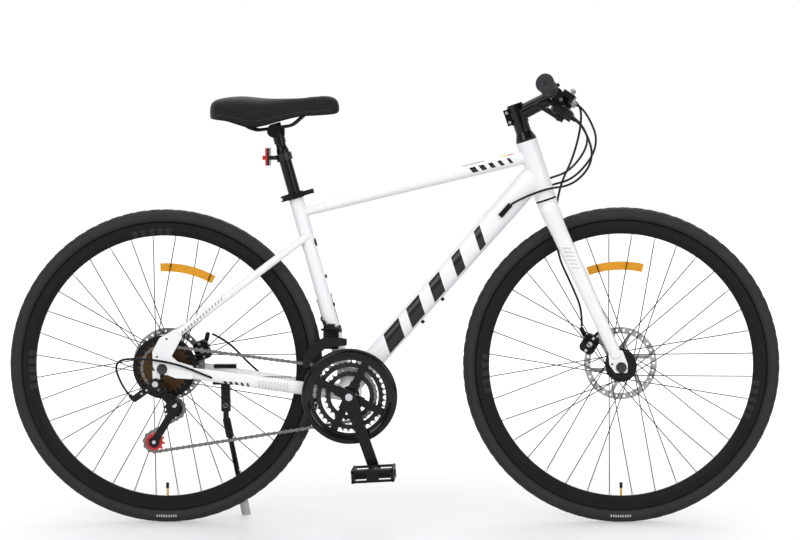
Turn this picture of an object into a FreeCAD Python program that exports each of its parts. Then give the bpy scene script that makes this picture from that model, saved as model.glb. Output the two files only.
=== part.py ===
import FreeCAD, Part
import Sketcher
import math
import os
from FreeCAD import Vector, Placement, Rotation

# Hybrid bike, built as an assembly of separate pieces.
# Millimetres. +X points to the front wheel, +Y to the rider's left, +Z up.
# The origin lies on the ground halfway between the two axles.

doc = FreeCAD.newDocument("hybrid_bike")
sheet = doc.addObject("Spreadsheet::Sheet", "dims")

# Named sizes, each written once
SIZES = (
    ("wheelbase", 1000.0),
    ("tyre_radius", 346.0),
    ("tyre_width", 35.0),
    ("tyre_wall", 2.5),
    ("tyre_crown", 16.0),
    ("rim_flange_radius", 316.5),
    ("rim_inner_radius", 288.0),
    ("rim_width", 24.0),
    ("rim_nose", 8.0),
    ("rim_wall", 2.2),
    ("spoke_radius", 1.0),
    ("spoke_clearance", 1.4),
    ("spoke_hole_circle", 29.0),
    ("nipple_radius", 1.9),
    ("flange_radius", 34.0),
    ("flange_thickness", 3.0),
    ("hub_barrel_radius", 14.0),
    ("axle_radius", 5.0),
    ("running_gap", 0.05),
    ("hole_gap", 0.15),
    ("front_spacing", 100.0),
    ("rear_spacing", 135.0),
    ("dropout_thickness", 7.0),
    ("front_flange_right", 33.0),
    ("front_flange_left", 27.0),
    ("rear_flange_right", 22.0),
    ("rear_flange_left", 34.0),
    ("rotor_radius", 80.0),
    ("rotor_band", 14.0),
    ("rotor_thickness", 1.8),
    ("front_rotor_y", 39.0),
    ("rear_rotor_y", 50.6),
    ("rotor_boss_radius", 17.0),
    ("bracket_drop", 62.0),
    ("bracket_reach", 408.0),
    ("shell_radius", 20.0),
    ("shell_bore", 17.0),
    ("shell_width", 68.0),
    ("seat_angle", 74.7),
    ("seat_tube_length", 458.6),
    ("seat_tube_radius", 15.9),
    ("post_radius", 13.6),
    ("head_angle", 71.8),
    ("head_top_x", 295.8),
    ("head_top_z", 837.2),
    ("head_length", 133.0),
    ("head_radius", 23.0),
    ("head_bore", 17.0),
    ("steerer_radius", 14.3),
    ("cup_flange", 4.0),
    ("tube_wall", 2.0),
    ("top_tube_rear_height", 20.0),
    ("top_tube_rear_width", 26.0),
    ("top_tube_front_height", 31.0),
    ("top_tube_front_width", 34.0),
    ("down_tube_low_height", 46.0),
    ("down_tube_low_width", 40.0),
    ("down_tube_high_height", 55.0),
    ("down_tube_high_width", 42.0),
    ("chainstay_height", 28.0),
    ("chainstay_width", 11.0),
    ("seatstay_length", 344.7),
    ("seatstay_height", 17.0),
    ("seatstay_width", 13.0),
    ("crown_drop", 24.0),
    ("crown_radius", 18.0),
    ("leg_top_depth", 38.0),
    ("leg_top_width", 24.0),
    ("leg_low_depth", 25.0),
    ("leg_low_width", 15.0),
    ("leg_top_y", 48.0),
    ("leg_low_y", 54.0),
    ("stem_rise", 60.6),
    ("stem_clamp_height", 40.0),
    ("stem_clamp_radius", 19.0),
    ("stem_reach", 80.0),
    ("stem_lift", 40.5),
    ("bar_radius", 11.1),
    ("bar_clamp_radius", 12.7),
    ("bar_half_width", 305.0),
    ("bar_back", 20.0),
    ("bar_rise", 28.5),
    ("grip_radius", 16.0),
    ("grip_length", 125.0),
    ("lever_droop", 33.0),
    ("crank_length", 170.0),
    ("crank_lean", 19.1),
    ("spindle_radius", 8.5),
    ("pedal_axle_radius", 4.5),
    ("pedal_length", 93.0),
    ("pedal_width", 92.0),
    ("pedal_thickness", 27.0),
    ("chain_pitch", 12.7),
    ("chain_y", -39.0),
    ("ring_step", 7.0),
    ("ring_thickness", 2.4),
    ("sprocket_step", 4.8),
    ("sprocket_thickness", 1.9),
    ("roller_radius", 3.7),
    ("roller_seat", 4.3),
    ("roller_width", 3.2),
    ("chain_pin_radius", 1.7),
    ("chain_plate", 0.8),
    ("chain_plate_gap", 0.15),
    ("chain_bush_gap", 0.25),
    ("chain_plate_radius", 4.0),
    ("jockey_thickness", 2.2),
    ("jockey_bolt_radius", 2.5),
    ("guard_radius", 105.0),
    ("guard_inner_radius", 80.0),
    ("hanger_x", -513.0),
    ("hanger_z", 315.0),
    ("cage_pivot_x", -476.0),
    ("cage_pivot_z", 266.0),
    ("cable_radius", 2.5),
    ("rail_radius", 3.5),
    ("saddle_length", 284.0),
    ("saddle_width", 150.0),
    ("saddle_nose_width", 46.0),
    ("saddle_top_z", 939.0),
    ("saddle_rear_x", -402.0),
    ("stand_pivot_x", -375.0),
    ("stand_pivot_y", 62.0),
    ("stand_pivot_z", 252.0),
    ("stand_foot_x", -337.0),
    ("stand_foot_y", 112.0),
    ("pin_radius", 2.5),
)


def formula_of(item):
    return item.formula if isinstance(item, Size) else repr(float(item))


class Size:
    """A sheet formula together with the number it stands for."""

    def __init__(self, formula, value):
        self.formula = formula
        self.value = value

    def joined(self, sign, other, value):
        return Size("(%s %s %s)" % (self.formula, sign, formula_of(other)), value)

    def __add__(self, other):
        return self.joined("+", other, self.value + float(other))

    def __sub__(self, other):
        return self.joined("-", other, self.value - float(other))

    def __mul__(self, other):
        return self.joined("*", other, self.value * float(other))

    def __truediv__(self, other):
        return self.joined("/", other, self.value / float(other))

    def __rsub__(self, other):
        return Size("(%s - %s)" % (formula_of(other), self.formula), float(other) - self.value)

    def __neg__(self):
        return Size("(0 - %s)" % self.formula, -self.value)

    def __float__(self):
        return float(self.value)

    def root(self):
        return Size("sqrt(%s)" % self.formula, math.sqrt(self.value))


class Dims:
    """Holds every named size as an attribute."""


dims = Dims()
for row, (alias, value) in enumerate(SIZES, 1):
    sheet.set("A%d" % row, alias)
    sheet.set("B%d" % row, repr(value))
    sheet.setAlias("B%d" % row, alias)
    setattr(dims, alias, Size("dims." + alias, value))
doc.recompute()

UP = Vector(0, 0, 1)
LEFT = Vector(0, 1, 0)
RIGHT = Vector(0, -1, 0)
AHEAD = Vector(1, 0, 0)


# Helpers
def bind(item, prop, size):
    if isinstance(size, Size):
        item.setExpression(prop, size.formula)
    else:
        setattr(item, prop, size)


def vec(x, y, z):
    return Vector(float(x), float(y), float(z))


def pose(at, z_dir, x_dir=None):
    z_dir = Vector(z_dir).normalize()
    if x_dir is None:
        x_dir = Vector(1, 0, 0) if abs(z_dir.x) < 0.9 else Vector(0, 1, 0)
    y_dir = z_dir.cross(x_dir)
    return Placement(at, Rotation(y_dir.cross(z_dir), y_dir, z_dir, "ZXY"))


def cylinder(label, radius, height, at, axis, sweep=None):
    item = doc.addObject("Part::Cylinder", label)
    bind(item, "Radius", radius)
    bind(item, "Height", height)
    if sweep is not None:
        bind(item, "Angle", sweep)
    item.Placement = pose(at, axis)
    return item


def cone(label, first, second, height, at, axis):
    item = doc.addObject("Part::Cone", label)
    bind(item, "Radius1", first)
    bind(item, "Radius2", second)
    bind(item, "Height", height)
    item.Placement = pose(at, axis)
    return item


def ball(label, radius, at):
    item = doc.addObject("Part::Sphere", label)
    bind(item, "Radius", radius)
    item.Placement = Placement(at, Rotation())
    return item


def block(label, length, width, height, centre, x_dir=AHEAD, z_dir=UP):
    """A box given by its centre and two of its directions."""
    item = doc.addObject("Part::Box", label)
    bind(item, "Length", length)
    bind(item, "Width", width)
    bind(item, "Height", height)
    corner = pose(centre, z_dir, x_dir)
    half = Vector(-float(length) / 2, -float(width) / 2, -float(height) / 2)
    item.Placement = corner.multiply(Placement(half, Rotation()))
    return item


def hexagon(label, radius, height, at, axis):
    item = doc.addObject("Part::Prism", label)
    item.Polygon = 6
    bind(item, "Circumradius", radius)
    bind(item, "Height", height)
    item.Placement = pose(at, axis)
    return item


def cut(label, base, *tools):
    for count, tool in enumerate(tools):
        item = doc.addObject("Part::Cut", label if count == len(tools) - 1 else label + "_step")
        item.Base = base
        item.Tool = tool
        base = item
    return base


def fuse(label, *pieces):
    item = doc.addObject("Part::MultiFuse", label)
    item.Shapes = list(pieces)
    return item


def group(label, *pieces):
    item = doc.addObject("Part::Compound", label)
    item.Links = list(pieces)
    return item


def ring(label, outer, inner, height, at, axis):
    outside = cylinder(label + "_outside", outer, height, at, axis)
    inside = cylinder(label + "_inside", inner, height, at, axis)
    return cut(label, outside, inside)


def mirrored(label, source):
    item = doc.addObject("Part::Mirroring", label)
    item.Source = source
    item.Normal = LEFT
    item.Base = Vector(0, 0, 0)
    return item


def copies(label, source, places):
    """The same piece at many places, as one object."""
    doc.recompute()
    shapes = []
    for place in places:
        shape = source.Shape.copy()
        shape.Placement = place.multiply(source.Shape.Placement)
        shapes.append(shape)
    item = doc.addObject("Part::Feature", label)
    item.Shape = Part.makeCompound(shapes)
    return item


def turned(centre, degrees):
    """A turn about the crosswise axis through a point."""
    return Placement(Vector(0, 0, 0), Rotation(LEFT, degrees), centre)


def closed_loop(sketch, corners):
    """Straight sides through the corners, every corner tied to the sheet."""
    first = sketch.GeometryCount
    count = len(corners)
    flat = [Vector(float(x), float(y), 0) for x, y in corners]
    for i in range(count):
        sketch.addGeometry(Part.LineSegment(flat[i], flat[(i + 1) % count]), False)
    for i in range(count):
        following = first + (i + 1) % count
        sketch.addConstraint(Sketcher.Constraint("Coincident", first + i, 2, following, 1))
    for i, (x, y) in enumerate(corners):
        for kind, size in (("DistanceX", x), ("DistanceY", y)):
            number = sketch.addConstraint(Sketcher.Constraint(kind, -1, 1, first + i, 1, float(size)))
            if isinstance(size, Size):
                sketch.setExpression("Constraints[%d]" % number, size.formula)


def drawn(body, *loops):
    sketch = body.newObject("Sketcher::SketchObject", body.Name + "_outline")
    plane = [item for item in body.Origin.OriginFeatures if item.Role == "XY_Plane"][0]
    sketch.AttachmentSupport = (plane, [""])
    sketch.MapMode = "FlatFace"
    for corners in loops:
        closed_loop(sketch, corners)
    return sketch


def turned_body(label, at, *loops):
    """A body of revolution about the crosswise axis; corners are (radius, y)."""
    body = doc.addObject("PartDesign::Body", label)
    sketch = drawn(body, *loops)
    feature = body.newObject("PartDesign::Revolution", label + "_turn")
    feature.Profile = (sketch, [""])
    feature.ReferenceAxis = (sketch, ["V_Axis"])
    feature.Angle = 360.0
    body.Placement = Placement(at, Rotation())
    return body


def padded_body(label, place, thickness, rounding, *loops):
    """A plate drawn in its own plane, its upright edges rounded."""
    body = doc.addObject("PartDesign::Body", label)
    sketch = drawn(body, *loops)
    pad = body.newObject("PartDesign::Pad", label + "_pad")
    pad.Profile = (sketch, [""])
    bind(pad, "Length", thickness)
    if rounding:
        doc.recompute()
        names = []
        for number, edge in enumerate(pad.Shape.Edges, 1):
            ends = [point.Point for point in edge.Vertexes]
            if len(ends) == 2 and abs(abs(ends[0].z - ends[1].z) - float(thickness)) < 1e-4:
                names.append("Edge%d" % number)
        fillet = body.newObject("PartDesign::Fillet", label + "_round")
        fillet.Base = (pad, names)
        bind(fillet, "Radius", rounding)
    body.Placement = place
    return body


def side_plate(label, near_y, thickness, rounding, *loops):
    """A plate lying along the bike; corners are (x, z), thickness runs to the left."""
    return padded_body(label, pose(vec(0, float(near_y) + float(thickness), 0), RIGHT, AHEAD),
                       thickness, rounding, *loops)


def oval(label, at, normal, tall_dir, tall, wide):
    """An elliptical section, tall along one direction and wide across it."""
    item = doc.addObject("Part::Ellipse", label)
    if float(tall) >= float(wide):
        bind(item, "MajorRadius", tall)
        bind(item, "MinorRadius", wide)
        item.Placement = pose(at, normal, tall_dir)
    else:
        bind(item, "MajorRadius", wide)
        bind(item, "MinorRadius", tall)
        item.Placement = pose(at, normal, Vector(normal).cross(tall_dir))
    return item


def loft(label, sections, ruled=False):
    item = doc.addObject("Part::Loft", label)
    item.Sections = sections
    item.Solid = True
    item.Ruled = ruled
    return item


def oval_tube(label, stations, wall, ruled=True):
    """A hollow tube through oval stations (point, normal, tall direction, height, width)."""
    outside = []
    inside = []
    for number, (at, normal, tall_dir, tall, wide) in enumerate(stations, 1):
        name = "%s_station%d" % (label, number)
        outside.append(oval(name, at, normal, tall_dir, tall / 2, wide / 2))
        inside.append(oval(name + "_bore", at, normal, tall_dir, tall / 2 - wall, wide / 2 - wall))
    skin = loft(label + "_skin", outside, ruled)
    bore = loft(label + "_hollow", inside, ruled)
    return skin, bore


def route(points, bend):
    """Straight runs joined by tangent arcs, each as wide as its corner leaves room for."""
    edges = []
    last = points[0]
    for i in range(1, len(points) - 1):
        before = points[i] - points[i - 1]
        after = points[i + 1] - points[i]
        turn = before.getAngle(after)
        if turn < 1e-3:
            continue
        room = 0.49 * min(before.Length, after.Length)
        reach = min(room, bend * math.tan(turn / 2))
        radius = reach / math.tan(turn / 2)
        into = points[i] - Vector(before).normalize() * reach
        out = points[i] + Vector(after).normalize() * reach
        inward = (Vector(after).normalize() - Vector(before).normalize()).normalize()
        middle = points[i] + inward * (radius / math.cos(turn / 2) - radius)
        if (into - last).Length > 1e-4:
            edges.append(Part.LineSegment(last, into).toShape())
        edges.append(Part.Arc(into, middle, out).toShape())
        last = out
    edges.append(Part.LineSegment(last, points[-1]).toShape())
    return edges


def rod(label, points, bend, radius):
    """A round rod or cable swept whole along its route."""
    edges = route(points, bend)
    path = doc.addObject("Part::Feature", label + "_route")
    path.Shape = Part.Wire(edges)
    section = doc.addObject("Part::Circle", label + "_section")
    bind(section, "Radius", radius)
    section.Placement = pose(points[0], points[1] - points[0])
    item = doc.addObject("Part::Sweep", label)
    item.Sections = [section]
    item.Spine = (path, ["Edge%d" % number for number in range(1, len(edges) + 1)])
    item.Solid = True
    item.Frenet = False
    print("%s length %.0f" % (label, sum(edge.Length for edge in edges)))
    return item


def around(centre, radius, degrees):
    angle = math.radians(degrees)
    return centre + Vector(math.cos(angle), 0, math.sin(angle)) * float(radius)


# Main points
half_base = dims.wheelbase / 2
REAR = vec(-half_base, 0, dims.tyre_radius)
FRONT = vec(half_base, 0, dims.tyre_radius)
BRACKET = REAR + vec(dims.bracket_reach, 0, -dims.bracket_drop)
seat_lean = math.radians(float(dims.seat_angle))
SEAT_UP = Vector(-math.cos(seat_lean), 0, math.sin(seat_lean))
head_lean = math.radians(float(dims.head_angle))
HEAD_DOWN = Vector(math.cos(head_lean), 0, -math.sin(head_lean))
HEAD_TOP = vec(dims.head_top_x, 0, dims.head_top_z)
HEAD_LOW = HEAD_TOP + HEAD_DOWN * float(dims.head_length)
SEAT_TOP = BRACKET + SEAT_UP * float(dims.seat_tube_length)


# Wheels
def tyre(label, centre):
    half = dims.tyre_width / 2
    shoulder = (half * half - (dims.tyre_crown / 2) * (dims.tyre_crown / 2)).root()
    middle = dims.tyre_radius - shoulder
    skin = doc.addObject("Part::Torus", label + "_skin")
    bind(skin, "Radius1", middle)
    bind(skin, "Radius2", half)
    skin.Placement = pose(centre, LEFT)
    air = doc.addObject("Part::Torus", label + "_air")
    bind(air, "Radius1", middle)
    bind(air, "Radius2", half - dims.tyre_wall)
    air.Placement = pose(centre, LEFT)
    side = vec(0, -float(dims.tyre_width), 0)
    tread = ring(label + "_tread", dims.tyre_radius, dims.rim_flange_radius, dims.tyre_width * 2,
                 centre + side, LEFT)
    whole = doc.addObject("Part::MultiCommon", label + "_whole")
    whole.Shapes = [skin, tread]
    return cut(label, whole, air)


def rim(label, centre):
    side = dims.rim_width / 2
    nose = dims.rim_nose / 2
    wall = dims.rim_wall
    top = dims.rim_flange_radius
    low = dims.rim_inner_radius
    shoulder = top - 17
    outline = [(top, -side), (top, side), (shoulder, side), (low, nose), (low, -nose), (shoulder, -side)]
    hollow = [(top - wall, wall - side), (top - wall, side - wall), (shoulder, side - wall),
              (low + wall, nose - wall / 3), (low + wall, wall / 3 - nose), (shoulder, wall - side)]
    body = turned_body(label + "_section", centre, outline, hollow)
    hole = cylinder(label + "_hole", dims.nipple_radius + dims.hole_gap * 5, 12.0,
                    centre + vec(low - 4, 0, 0), AHEAD)
    places = [turned(centre, 10.0 * number + 5.0) for number in range(36)]
    holes = copies(label + "_holes", hole, places)
    return cut(label, body, holes)


def spoke(label, centre, flange_y, outward, lead):
    """One spoke with its elbow, head and nipple; lead is the turn from hub hole to rim hole."""
    radius = dims.spoke_radius
    hub = around(centre, dims.spoke_hole_circle, 0.0)
    half = dims.flange_thickness / 2
    outer_face = outward * flange_y > 0
    offset = half + radius + (dims.spoke_clearance if outer_face else dims.running_gap)
    elbow = hub + vec(0, flange_y + outward * float(offset), 0)
    target = around(centre, dims.rim_inner_radius + 3, lead)
    along = target - elbow
    spread = flange_y + outward * float(offset)
    square = dims.spoke_hole_circle * dims.spoke_hole_circle
    reach = dims.rim_inner_radius + 3
    across = dims.spoke_hole_circle * reach * (2 * math.cos(math.radians(lead)))
    length = (square + reach * reach - across + spread * spread).root()
    wire = cylinder(label + "_wire", radius, length, elbow, along)
    bend = ball(label + "_bend", radius, elbow)
    inward = vec(0, -outward, 0)
    through = offset + half + dims.running_gap
    shank = cylinder(label + "_shank", radius, through, elbow, inward)
    head = cylinder(label + "_head", radius * 1.8, 1.0, elbow + inward * float(through), inward)
    tip = elbow + Vector(along).normalize() * (float(length) - 12.0)
    nipple = cylinder(label + "_nipple", dims.nipple_radius, 12.0, tip, along)
    return fuse(label, wire, bend, shank, head, nipple)


def spokes(label, centre, right_y, left_y):
    sets = []
    for side, flange_y, start in (("right", -right_y, 5.0), ("left", left_y, 15.0)):
        for hand, outward, lead, first in (("pull", 1, 60.0, 0.0), ("push", -1, -60.0, 20.0)):
            name = "%s_%s_%s" % (label, side, hand)
            one = spoke(name, centre, float(flange_y), outward, lead)
            places = [turned(centre, -(start + first + 40.0 * number)) for number in range(9)]
            sets.append(copies(name + "_set", one, places))
    return group(label, *sets)


def flange_holes(label, centre, flange_y, start):
    depth = dims.flange_thickness + 2
    at = around(centre, dims.spoke_hole_circle, 0.0) + vec(0, float(flange_y) - float(depth) / 2, 0)
    hole = cylinder(label + "_one", dims.spoke_radius + dims.hole_gap, depth, at, LEFT)
    return copies(label, hole, [turned(centre, -(start + 20.0 * number)) for number in range(18)])


def rotor(label, centre, near_y):
    at = centre + vec(0, near_y, 0)
    thick = dims.rotor_thickness
    band = ring(label + "_band", dims.rotor_radius, dims.rotor_radius - dims.rotor_band, thick, at, LEFT)
    middle = ring(label + "_middle", dims.rotor_boss_radius + 9, dims.rotor_boss_radius, thick, at, LEFT)
    span = dims.rotor_radius - dims.rotor_boss_radius - dims.rotor_band
    arm = block(label + "_arm", span, thick, 8.0,
                at + vec(float(dims.rotor_boss_radius) + 4 + float(span) / 2,
                                                           float(thick) / 2, 14.0))
    arms = copies(label + "_arms", arm, [turned(centre, 60.0 * number) for number in range(6)])
    slot = cylinder(label + "_slot", 2.6, thick, at + vec(dims.rotor_radius - 7, 0, 0), LEFT)
    slots = copies(label + "_slots", slot, [turned(centre, 12.0 * number) for number in range(30)])
    solid = fuse(label + "_plain", band, middle, arms)
    return cut(label, solid, slots)


def wheel_trim(label, centre, mark, lens_half, extra):
    """Valve, its cap and the amber side reflector between the spokes."""
    low = around(centre, dims.rim_inner_radius - 0.1, -90.0)
    stem = cylinder(label + "_valve", 2.6, 17.0, low, UP)
    cap = cylinder(label + "_cap", 3.4, 12.0, low + vec(0, 0, 17.0), UP)
    outer = cylinder(label + "_lens_out", 227.0, lens_half * 2, centre + vec(0, lens_half, 0), RIGHT, 32.0)
    inner = cylinder(label + "_lens_in", 209.0, lens_half * 2, centre + vec(0, lens_half, 0), RIGHT)
    lens = cut(label + "_lens", outer, inner)
    arc = copies(label + "_reflector", lens, [turned(centre, -(mark - 16.0))])
    return group(label, fuse(label + "_valve_whole", stem, cap), arc, *extra)


front_tyre = tyre("front_tyre", FRONT)
front_rim = rim("front_rim", FRONT)
front_spokes = spokes("front_spokes", FRONT, dims.front_flange_right, dims.front_flange_left)
bore = dims.axle_radius + dims.running_gap
half_flange = dims.flange_thickness / 2
right = -dims.front_flange_right
left = dims.front_flange_left
front_end = dims.front_spacing / 2 - 6.3
barrel = dims.hub_barrel_radius
front_hub_plain = turned_body("front_hub_plain", FRONT, [
    (bore, -front_end), (barrel, -front_end), (barrel, right - half_flange),
    (dims.flange_radius, right - half_flange), (dims.flange_radius, right + half_flange),
    (barrel, right + half_flange), (barrel, left - half_flange),
    (dims.flange_radius, left - half_flange), (dims.flange_radius, left + half_flange),
    (dims.rotor_boss_radius + 9, left + half_flange), (dims.rotor_boss_radius + 9, dims.front_rotor_y),
    (dims.rotor_boss_radius, dims.front_rotor_y), (dims.rotor_boss_radius, front_end), (bore, front_end)])
front_hub = cut("front_hub", front_hub_plain,
                flange_holes("front_right_holes", FRONT, right, 5.0),
                flange_holes("front_left_holes", FRONT, left, 15.0))
front_rotor = rotor("front_rotor", FRONT, dims.front_rotor_y)
front_trim = wheel_trim("front_trim", FRONT, 93.2, 4.3, [])

rear_tyre = tyre("rear_tyre", REAR)
rear_rim = rim("rear_rim", REAR)
rear_spokes = spokes("rear_spokes", REAR, dims.rear_flange_right, dims.rear_flange_left)
right = -dims.rear_flange_right
left = dims.rear_flange_left
rear_end = dims.rear_spacing / 2 - 10.8
freewheel_end = dims.rear_spacing / 2 - 4.5
thread_radius = dims.rotor_boss_radius + 0.45
rear_hub_plain = turned_body("rear_hub_plain", REAR, [
    (bore, -freewheel_end), (thread_radius, -freewheel_end), (thread_radius, right - half_flange),
    (dims.flange_radius, right - half_flange), (dims.flange_radius, right + half_flange),
    (barrel, right + half_flange), (barrel, left - half_flange),
    (dims.flange_radius, left - half_flange), (dims.flange_radius, left + half_flange),
    (dims.rotor_boss_radius + 9, left + half_flange), (dims.rotor_boss_radius + 9, dims.rear_rotor_y),
    (dims.rotor_boss_radius, dims.rear_rotor_y), (dims.rotor_boss_radius, rear_end), (bore, rear_end)])
rear_hub = cut("rear_hub", rear_hub_plain,
               flange_holes("rear_right_holes", REAR, right, 5.0),
               flange_holes("rear_left_holes", REAR, left, 15.0))
rear_rotor = rotor("rear_rotor", REAR, dims.rear_rotor_y)
guard_disc = ring("spoke_guard", 70.0, thread_radius, 1.5, REAR + vec(0, -29.5, 0), LEFT)
rear_trim = wheel_trim("rear_trim", REAR, 76.6, 3.0, [guard_disc])


def axle(label, centre, spacing, right_gap, left_gap, nut_out):
    half = spacing / 2
    tip = float(half) + float(dims.dropout_thickness) + nut_out + 2.0
    bar = cylinder(label + "_bar", dims.axle_radius, tip * 2, centre + vec(0, -tip, 0), LEFT)
    pieces = [bar]
    for side, way, gap in (("right", -1.0, right_gap), ("left", 1.0, left_gap)):
        out = vec(0, way, 0)
        face = centre + vec(0, way * float(half), 0)
        pieces.append(cylinder(label + "_locknut_" + side, 9.0, gap - dims.running_gap * 6, face,
                               vec(0, -way, 0)))
        nut = face + vec(0, way * float(dims.dropout_thickness), 0)
        pieces.append(cylinder(label + "_washer_" + side, 11.5, 2.0, nut, out))
        pieces.append(hexagon(label + "_nut_" + side, 8.6, nut_out - 2.0, nut + out * 2.0, out))
    return fuse(label, *pieces)


front_axle = axle("front_axle", FRONT, dims.front_spacing, dims.front_spacing / 2 - front_end,
                  dims.front_spacing / 2 - front_end, 10.0)
rear_axle = axle("rear_axle", REAR, dims.rear_spacing, dims.rear_spacing / 2 - freewheel_end,
                 dims.rear_spacing / 2 - rear_end, 12.0)

# Frame tubes
shell_half = float(dims.shell_width) / 2
shell_side = BRACKET + vec(0, -shell_half, 0)
shell_out = cylinder("shell_out", dims.shell_radius, dims.shell_width, shell_side, LEFT)
shell_hole = cylinder("shell_hole", dims.shell_bore, dims.shell_width, shell_side, LEFT)
seat_out = cylinder("seat_out", dims.seat_tube_radius, dims.seat_tube_length, BRACKET, SEAT_UP)
seat_hole = cylinder("seat_hole", dims.post_radius + dims.running_gap, dims.seat_tube_length, BRACKET,
                     SEAT_UP)
seat_slit = block("seat_slit", 30.0, 2.5, 44.0, SEAT_TOP - AHEAD * 18.0, SEAT_UP.cross(LEFT) * -1.0,
                  SEAT_UP)
seat_tube = cut("seat_tube", fuse("seat_tube_plain", seat_out, shell_out), seat_hole, shell_hole, seat_slit)

head_out = cylinder("head_out", dims.head_radius, dims.head_length, HEAD_TOP, HEAD_DOWN)
head_hole = cylinder("head_hole", dims.head_bore, dims.head_length, HEAD_TOP, HEAD_DOWN)
head_tube = cut("head_tube", head_out, head_hole)

top_rear = vec(-206.0, 0, 681.0)
top_front = HEAD_TOP + HEAD_DOWN * 32.8
top_way = top_front - top_rear
top_tall = top_way.cross(LEFT) * -1.0
top_skin, top_bore = oval_tube("top_tube", [
    (top_rear, top_way, top_tall, dims.top_tube_rear_height, dims.top_tube_rear_width),
    (top_front, top_way, top_tall, dims.top_tube_front_height, dims.top_tube_front_width)], dims.tube_wall)
top_tube = cut("top_tube", top_skin, top_bore, seat_out, head_out)

down_low = BRACKET + vec(-12.0, 0, 6.0)
down_high = HEAD_TOP + HEAD_DOWN * 72.6
down_way = down_high - down_low
down_tall = down_way.cross(LEFT) * -1.0
down_skin, down_bore = oval_tube("down_tube", [
    (down_low, down_way, down_tall, dims.down_tube_low_height, dims.down_tube_low_width),
    (down_high, down_way, down_tall, dims.down_tube_high_height, dims.down_tube_high_width)],
    dims.tube_wall)
down_tube = cut("down_tube", down_skin, down_bore, seat_out, shell_out, head_out, top_skin)


def stay_point(x, y):
    share = (x - REAR.x) / (BRACKET.x - REAR.x)
    return vec(x, y, REAR.z + share * (BRACKET.z - REAR.z))


stay_way = BRACKET - REAR
tall = dims.chainstay_height
wide = dims.chainstay_width
chain_skin, chain_bore = oval_tube("chainstay", [
    (stay_point(-104.0, -25.0), stay_way, UP, tall + 2, wide + 3),
    (stay_point(-165.0, -28.2), stay_way, UP, tall + 2, wide - 0.5),
    (stay_point(-235.0, -40.0), stay_way, UP, tall, wide + 4),
    (stay_point(-452.0, -68.0), stay_way, UP, tall - 4, wide)], dims.tube_wall)
stay_right = cut("stay_right", chain_skin, chain_bore, shell_out)


stay_top = vec(-186.0, 0, 632.0)
seat_run = Vector(-0.8007, 0, -0.5991).normalize()
seat_tall = seat_run.cross(LEFT)
stay_low = stay_top + seat_run * float(dims.seatstay_length)


def dropout(label, near_y, hanger):
    half = dims.dropout_thickness
    upper = stay_low - seat_tall * 11.0
    lower = stay_low + seat_tall * 11.0
    if upper.z < lower.z:
        upper, lower = lower, upper
    corners = [(-505.0, 414.0), (upper.x, upper.z), (lower.x, lower.z), (-479.0, 374.0), (-466.0, 362.0),
               (-432.0, 352.0), (-432.0, 324.0), (-470.0, 326.0), (-488.0, 333.0), (-512.0, 334.0),
               (-520.0, 352.0), (-521.0, 384.0)]
    plate = side_plate(label + "_plate", near_y, half, 4.0, corners)
    at = vec(0, near_y, 0)
    pieces = [plate, cylinder(label + "_boss", 14.0, half, REAR + at, LEFT)]
    if hanger:
        bolt = vec(dims.hanger_x, near_y, dims.hanger_z)
        pieces.append(cylinder(label + "_hanger", 12.0, half, bolt, LEFT))
        pieces.append(block(label + "_neck", 20.0, half, 26.0, bolt + vec(2.0, float(half) / 2, 14.0)))
    solid = fuse(label + "_solid", *pieces)
    tools = [cylinder(label + "_axle_hole", dims.axle_radius, half, REAR + at, LEFT)]
    tools.append(block(label + "_slot", dims.axle_radius * 2, half, 30.0,
                       REAR + at + vec(0, float(half) / 2, -15.0)))
    tools.append(cylinder(label + "_eyelet", 2.5, half, vec(-511.0, near_y, 373.0), LEFT))
    tools.append(cylinder(label + "_eyelet_high", 2.5, half, vec(-489.0, near_y, 412.0), LEFT))
    if hanger:
        tools.append(cylinder(label + "_bolt_hole", dims.axle_radius, half, bolt, LEFT))
    return cut(label, solid, *tools)


drop_y = dims.rear_spacing / 2
right_drop = dropout("right_drop", -drop_y - dims.dropout_thickness, True)
left_drop = dropout("left_drop", drop_y, False)
chainstay_right = fuse("chainstay_right", stay_right, right_drop)
left_skin = mirrored("left_skin", chain_skin)
chainstay_left = fuse("chainstay_left", mirrored("stay_left", stay_right), left_drop)

stay_skin, stay_bore = oval_tube("seatstay", [
    (stay_top - seat_run * 4.0 + RIGHT * 12.0, seat_run, seat_tall, dims.seatstay_height,
     dims.seatstay_width),
    (stay_top + seat_run * 74.0 + RIGHT * 32.0, seat_run, seat_tall, dims.seatstay_height,
     dims.seatstay_width),
    (stay_low + RIGHT * (float(drop_y) + float(dims.dropout_thickness) / 2), seat_run, seat_tall,
     dims.seatstay_height, dims.seatstay_width)], dims.tube_wall)
stay_near = cut("stay_near", stay_skin, stay_bore, seat_out)
bridge_at = stay_top + seat_run * 62.0
bridge = cylinder("bridge_bar", 6.0, 56.0, bridge_at + RIGHT * 28.0, LEFT)
stay_far_skin = mirrored("stay_far_skin", stay_skin)
bridge_bar = cut("stay_bridge", bridge, stay_skin, stay_far_skin)
stay_far = mirrored("stay_far", stay_near)
seatstays = group("seatstays", stay_near, stay_far, bridge_bar)

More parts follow.
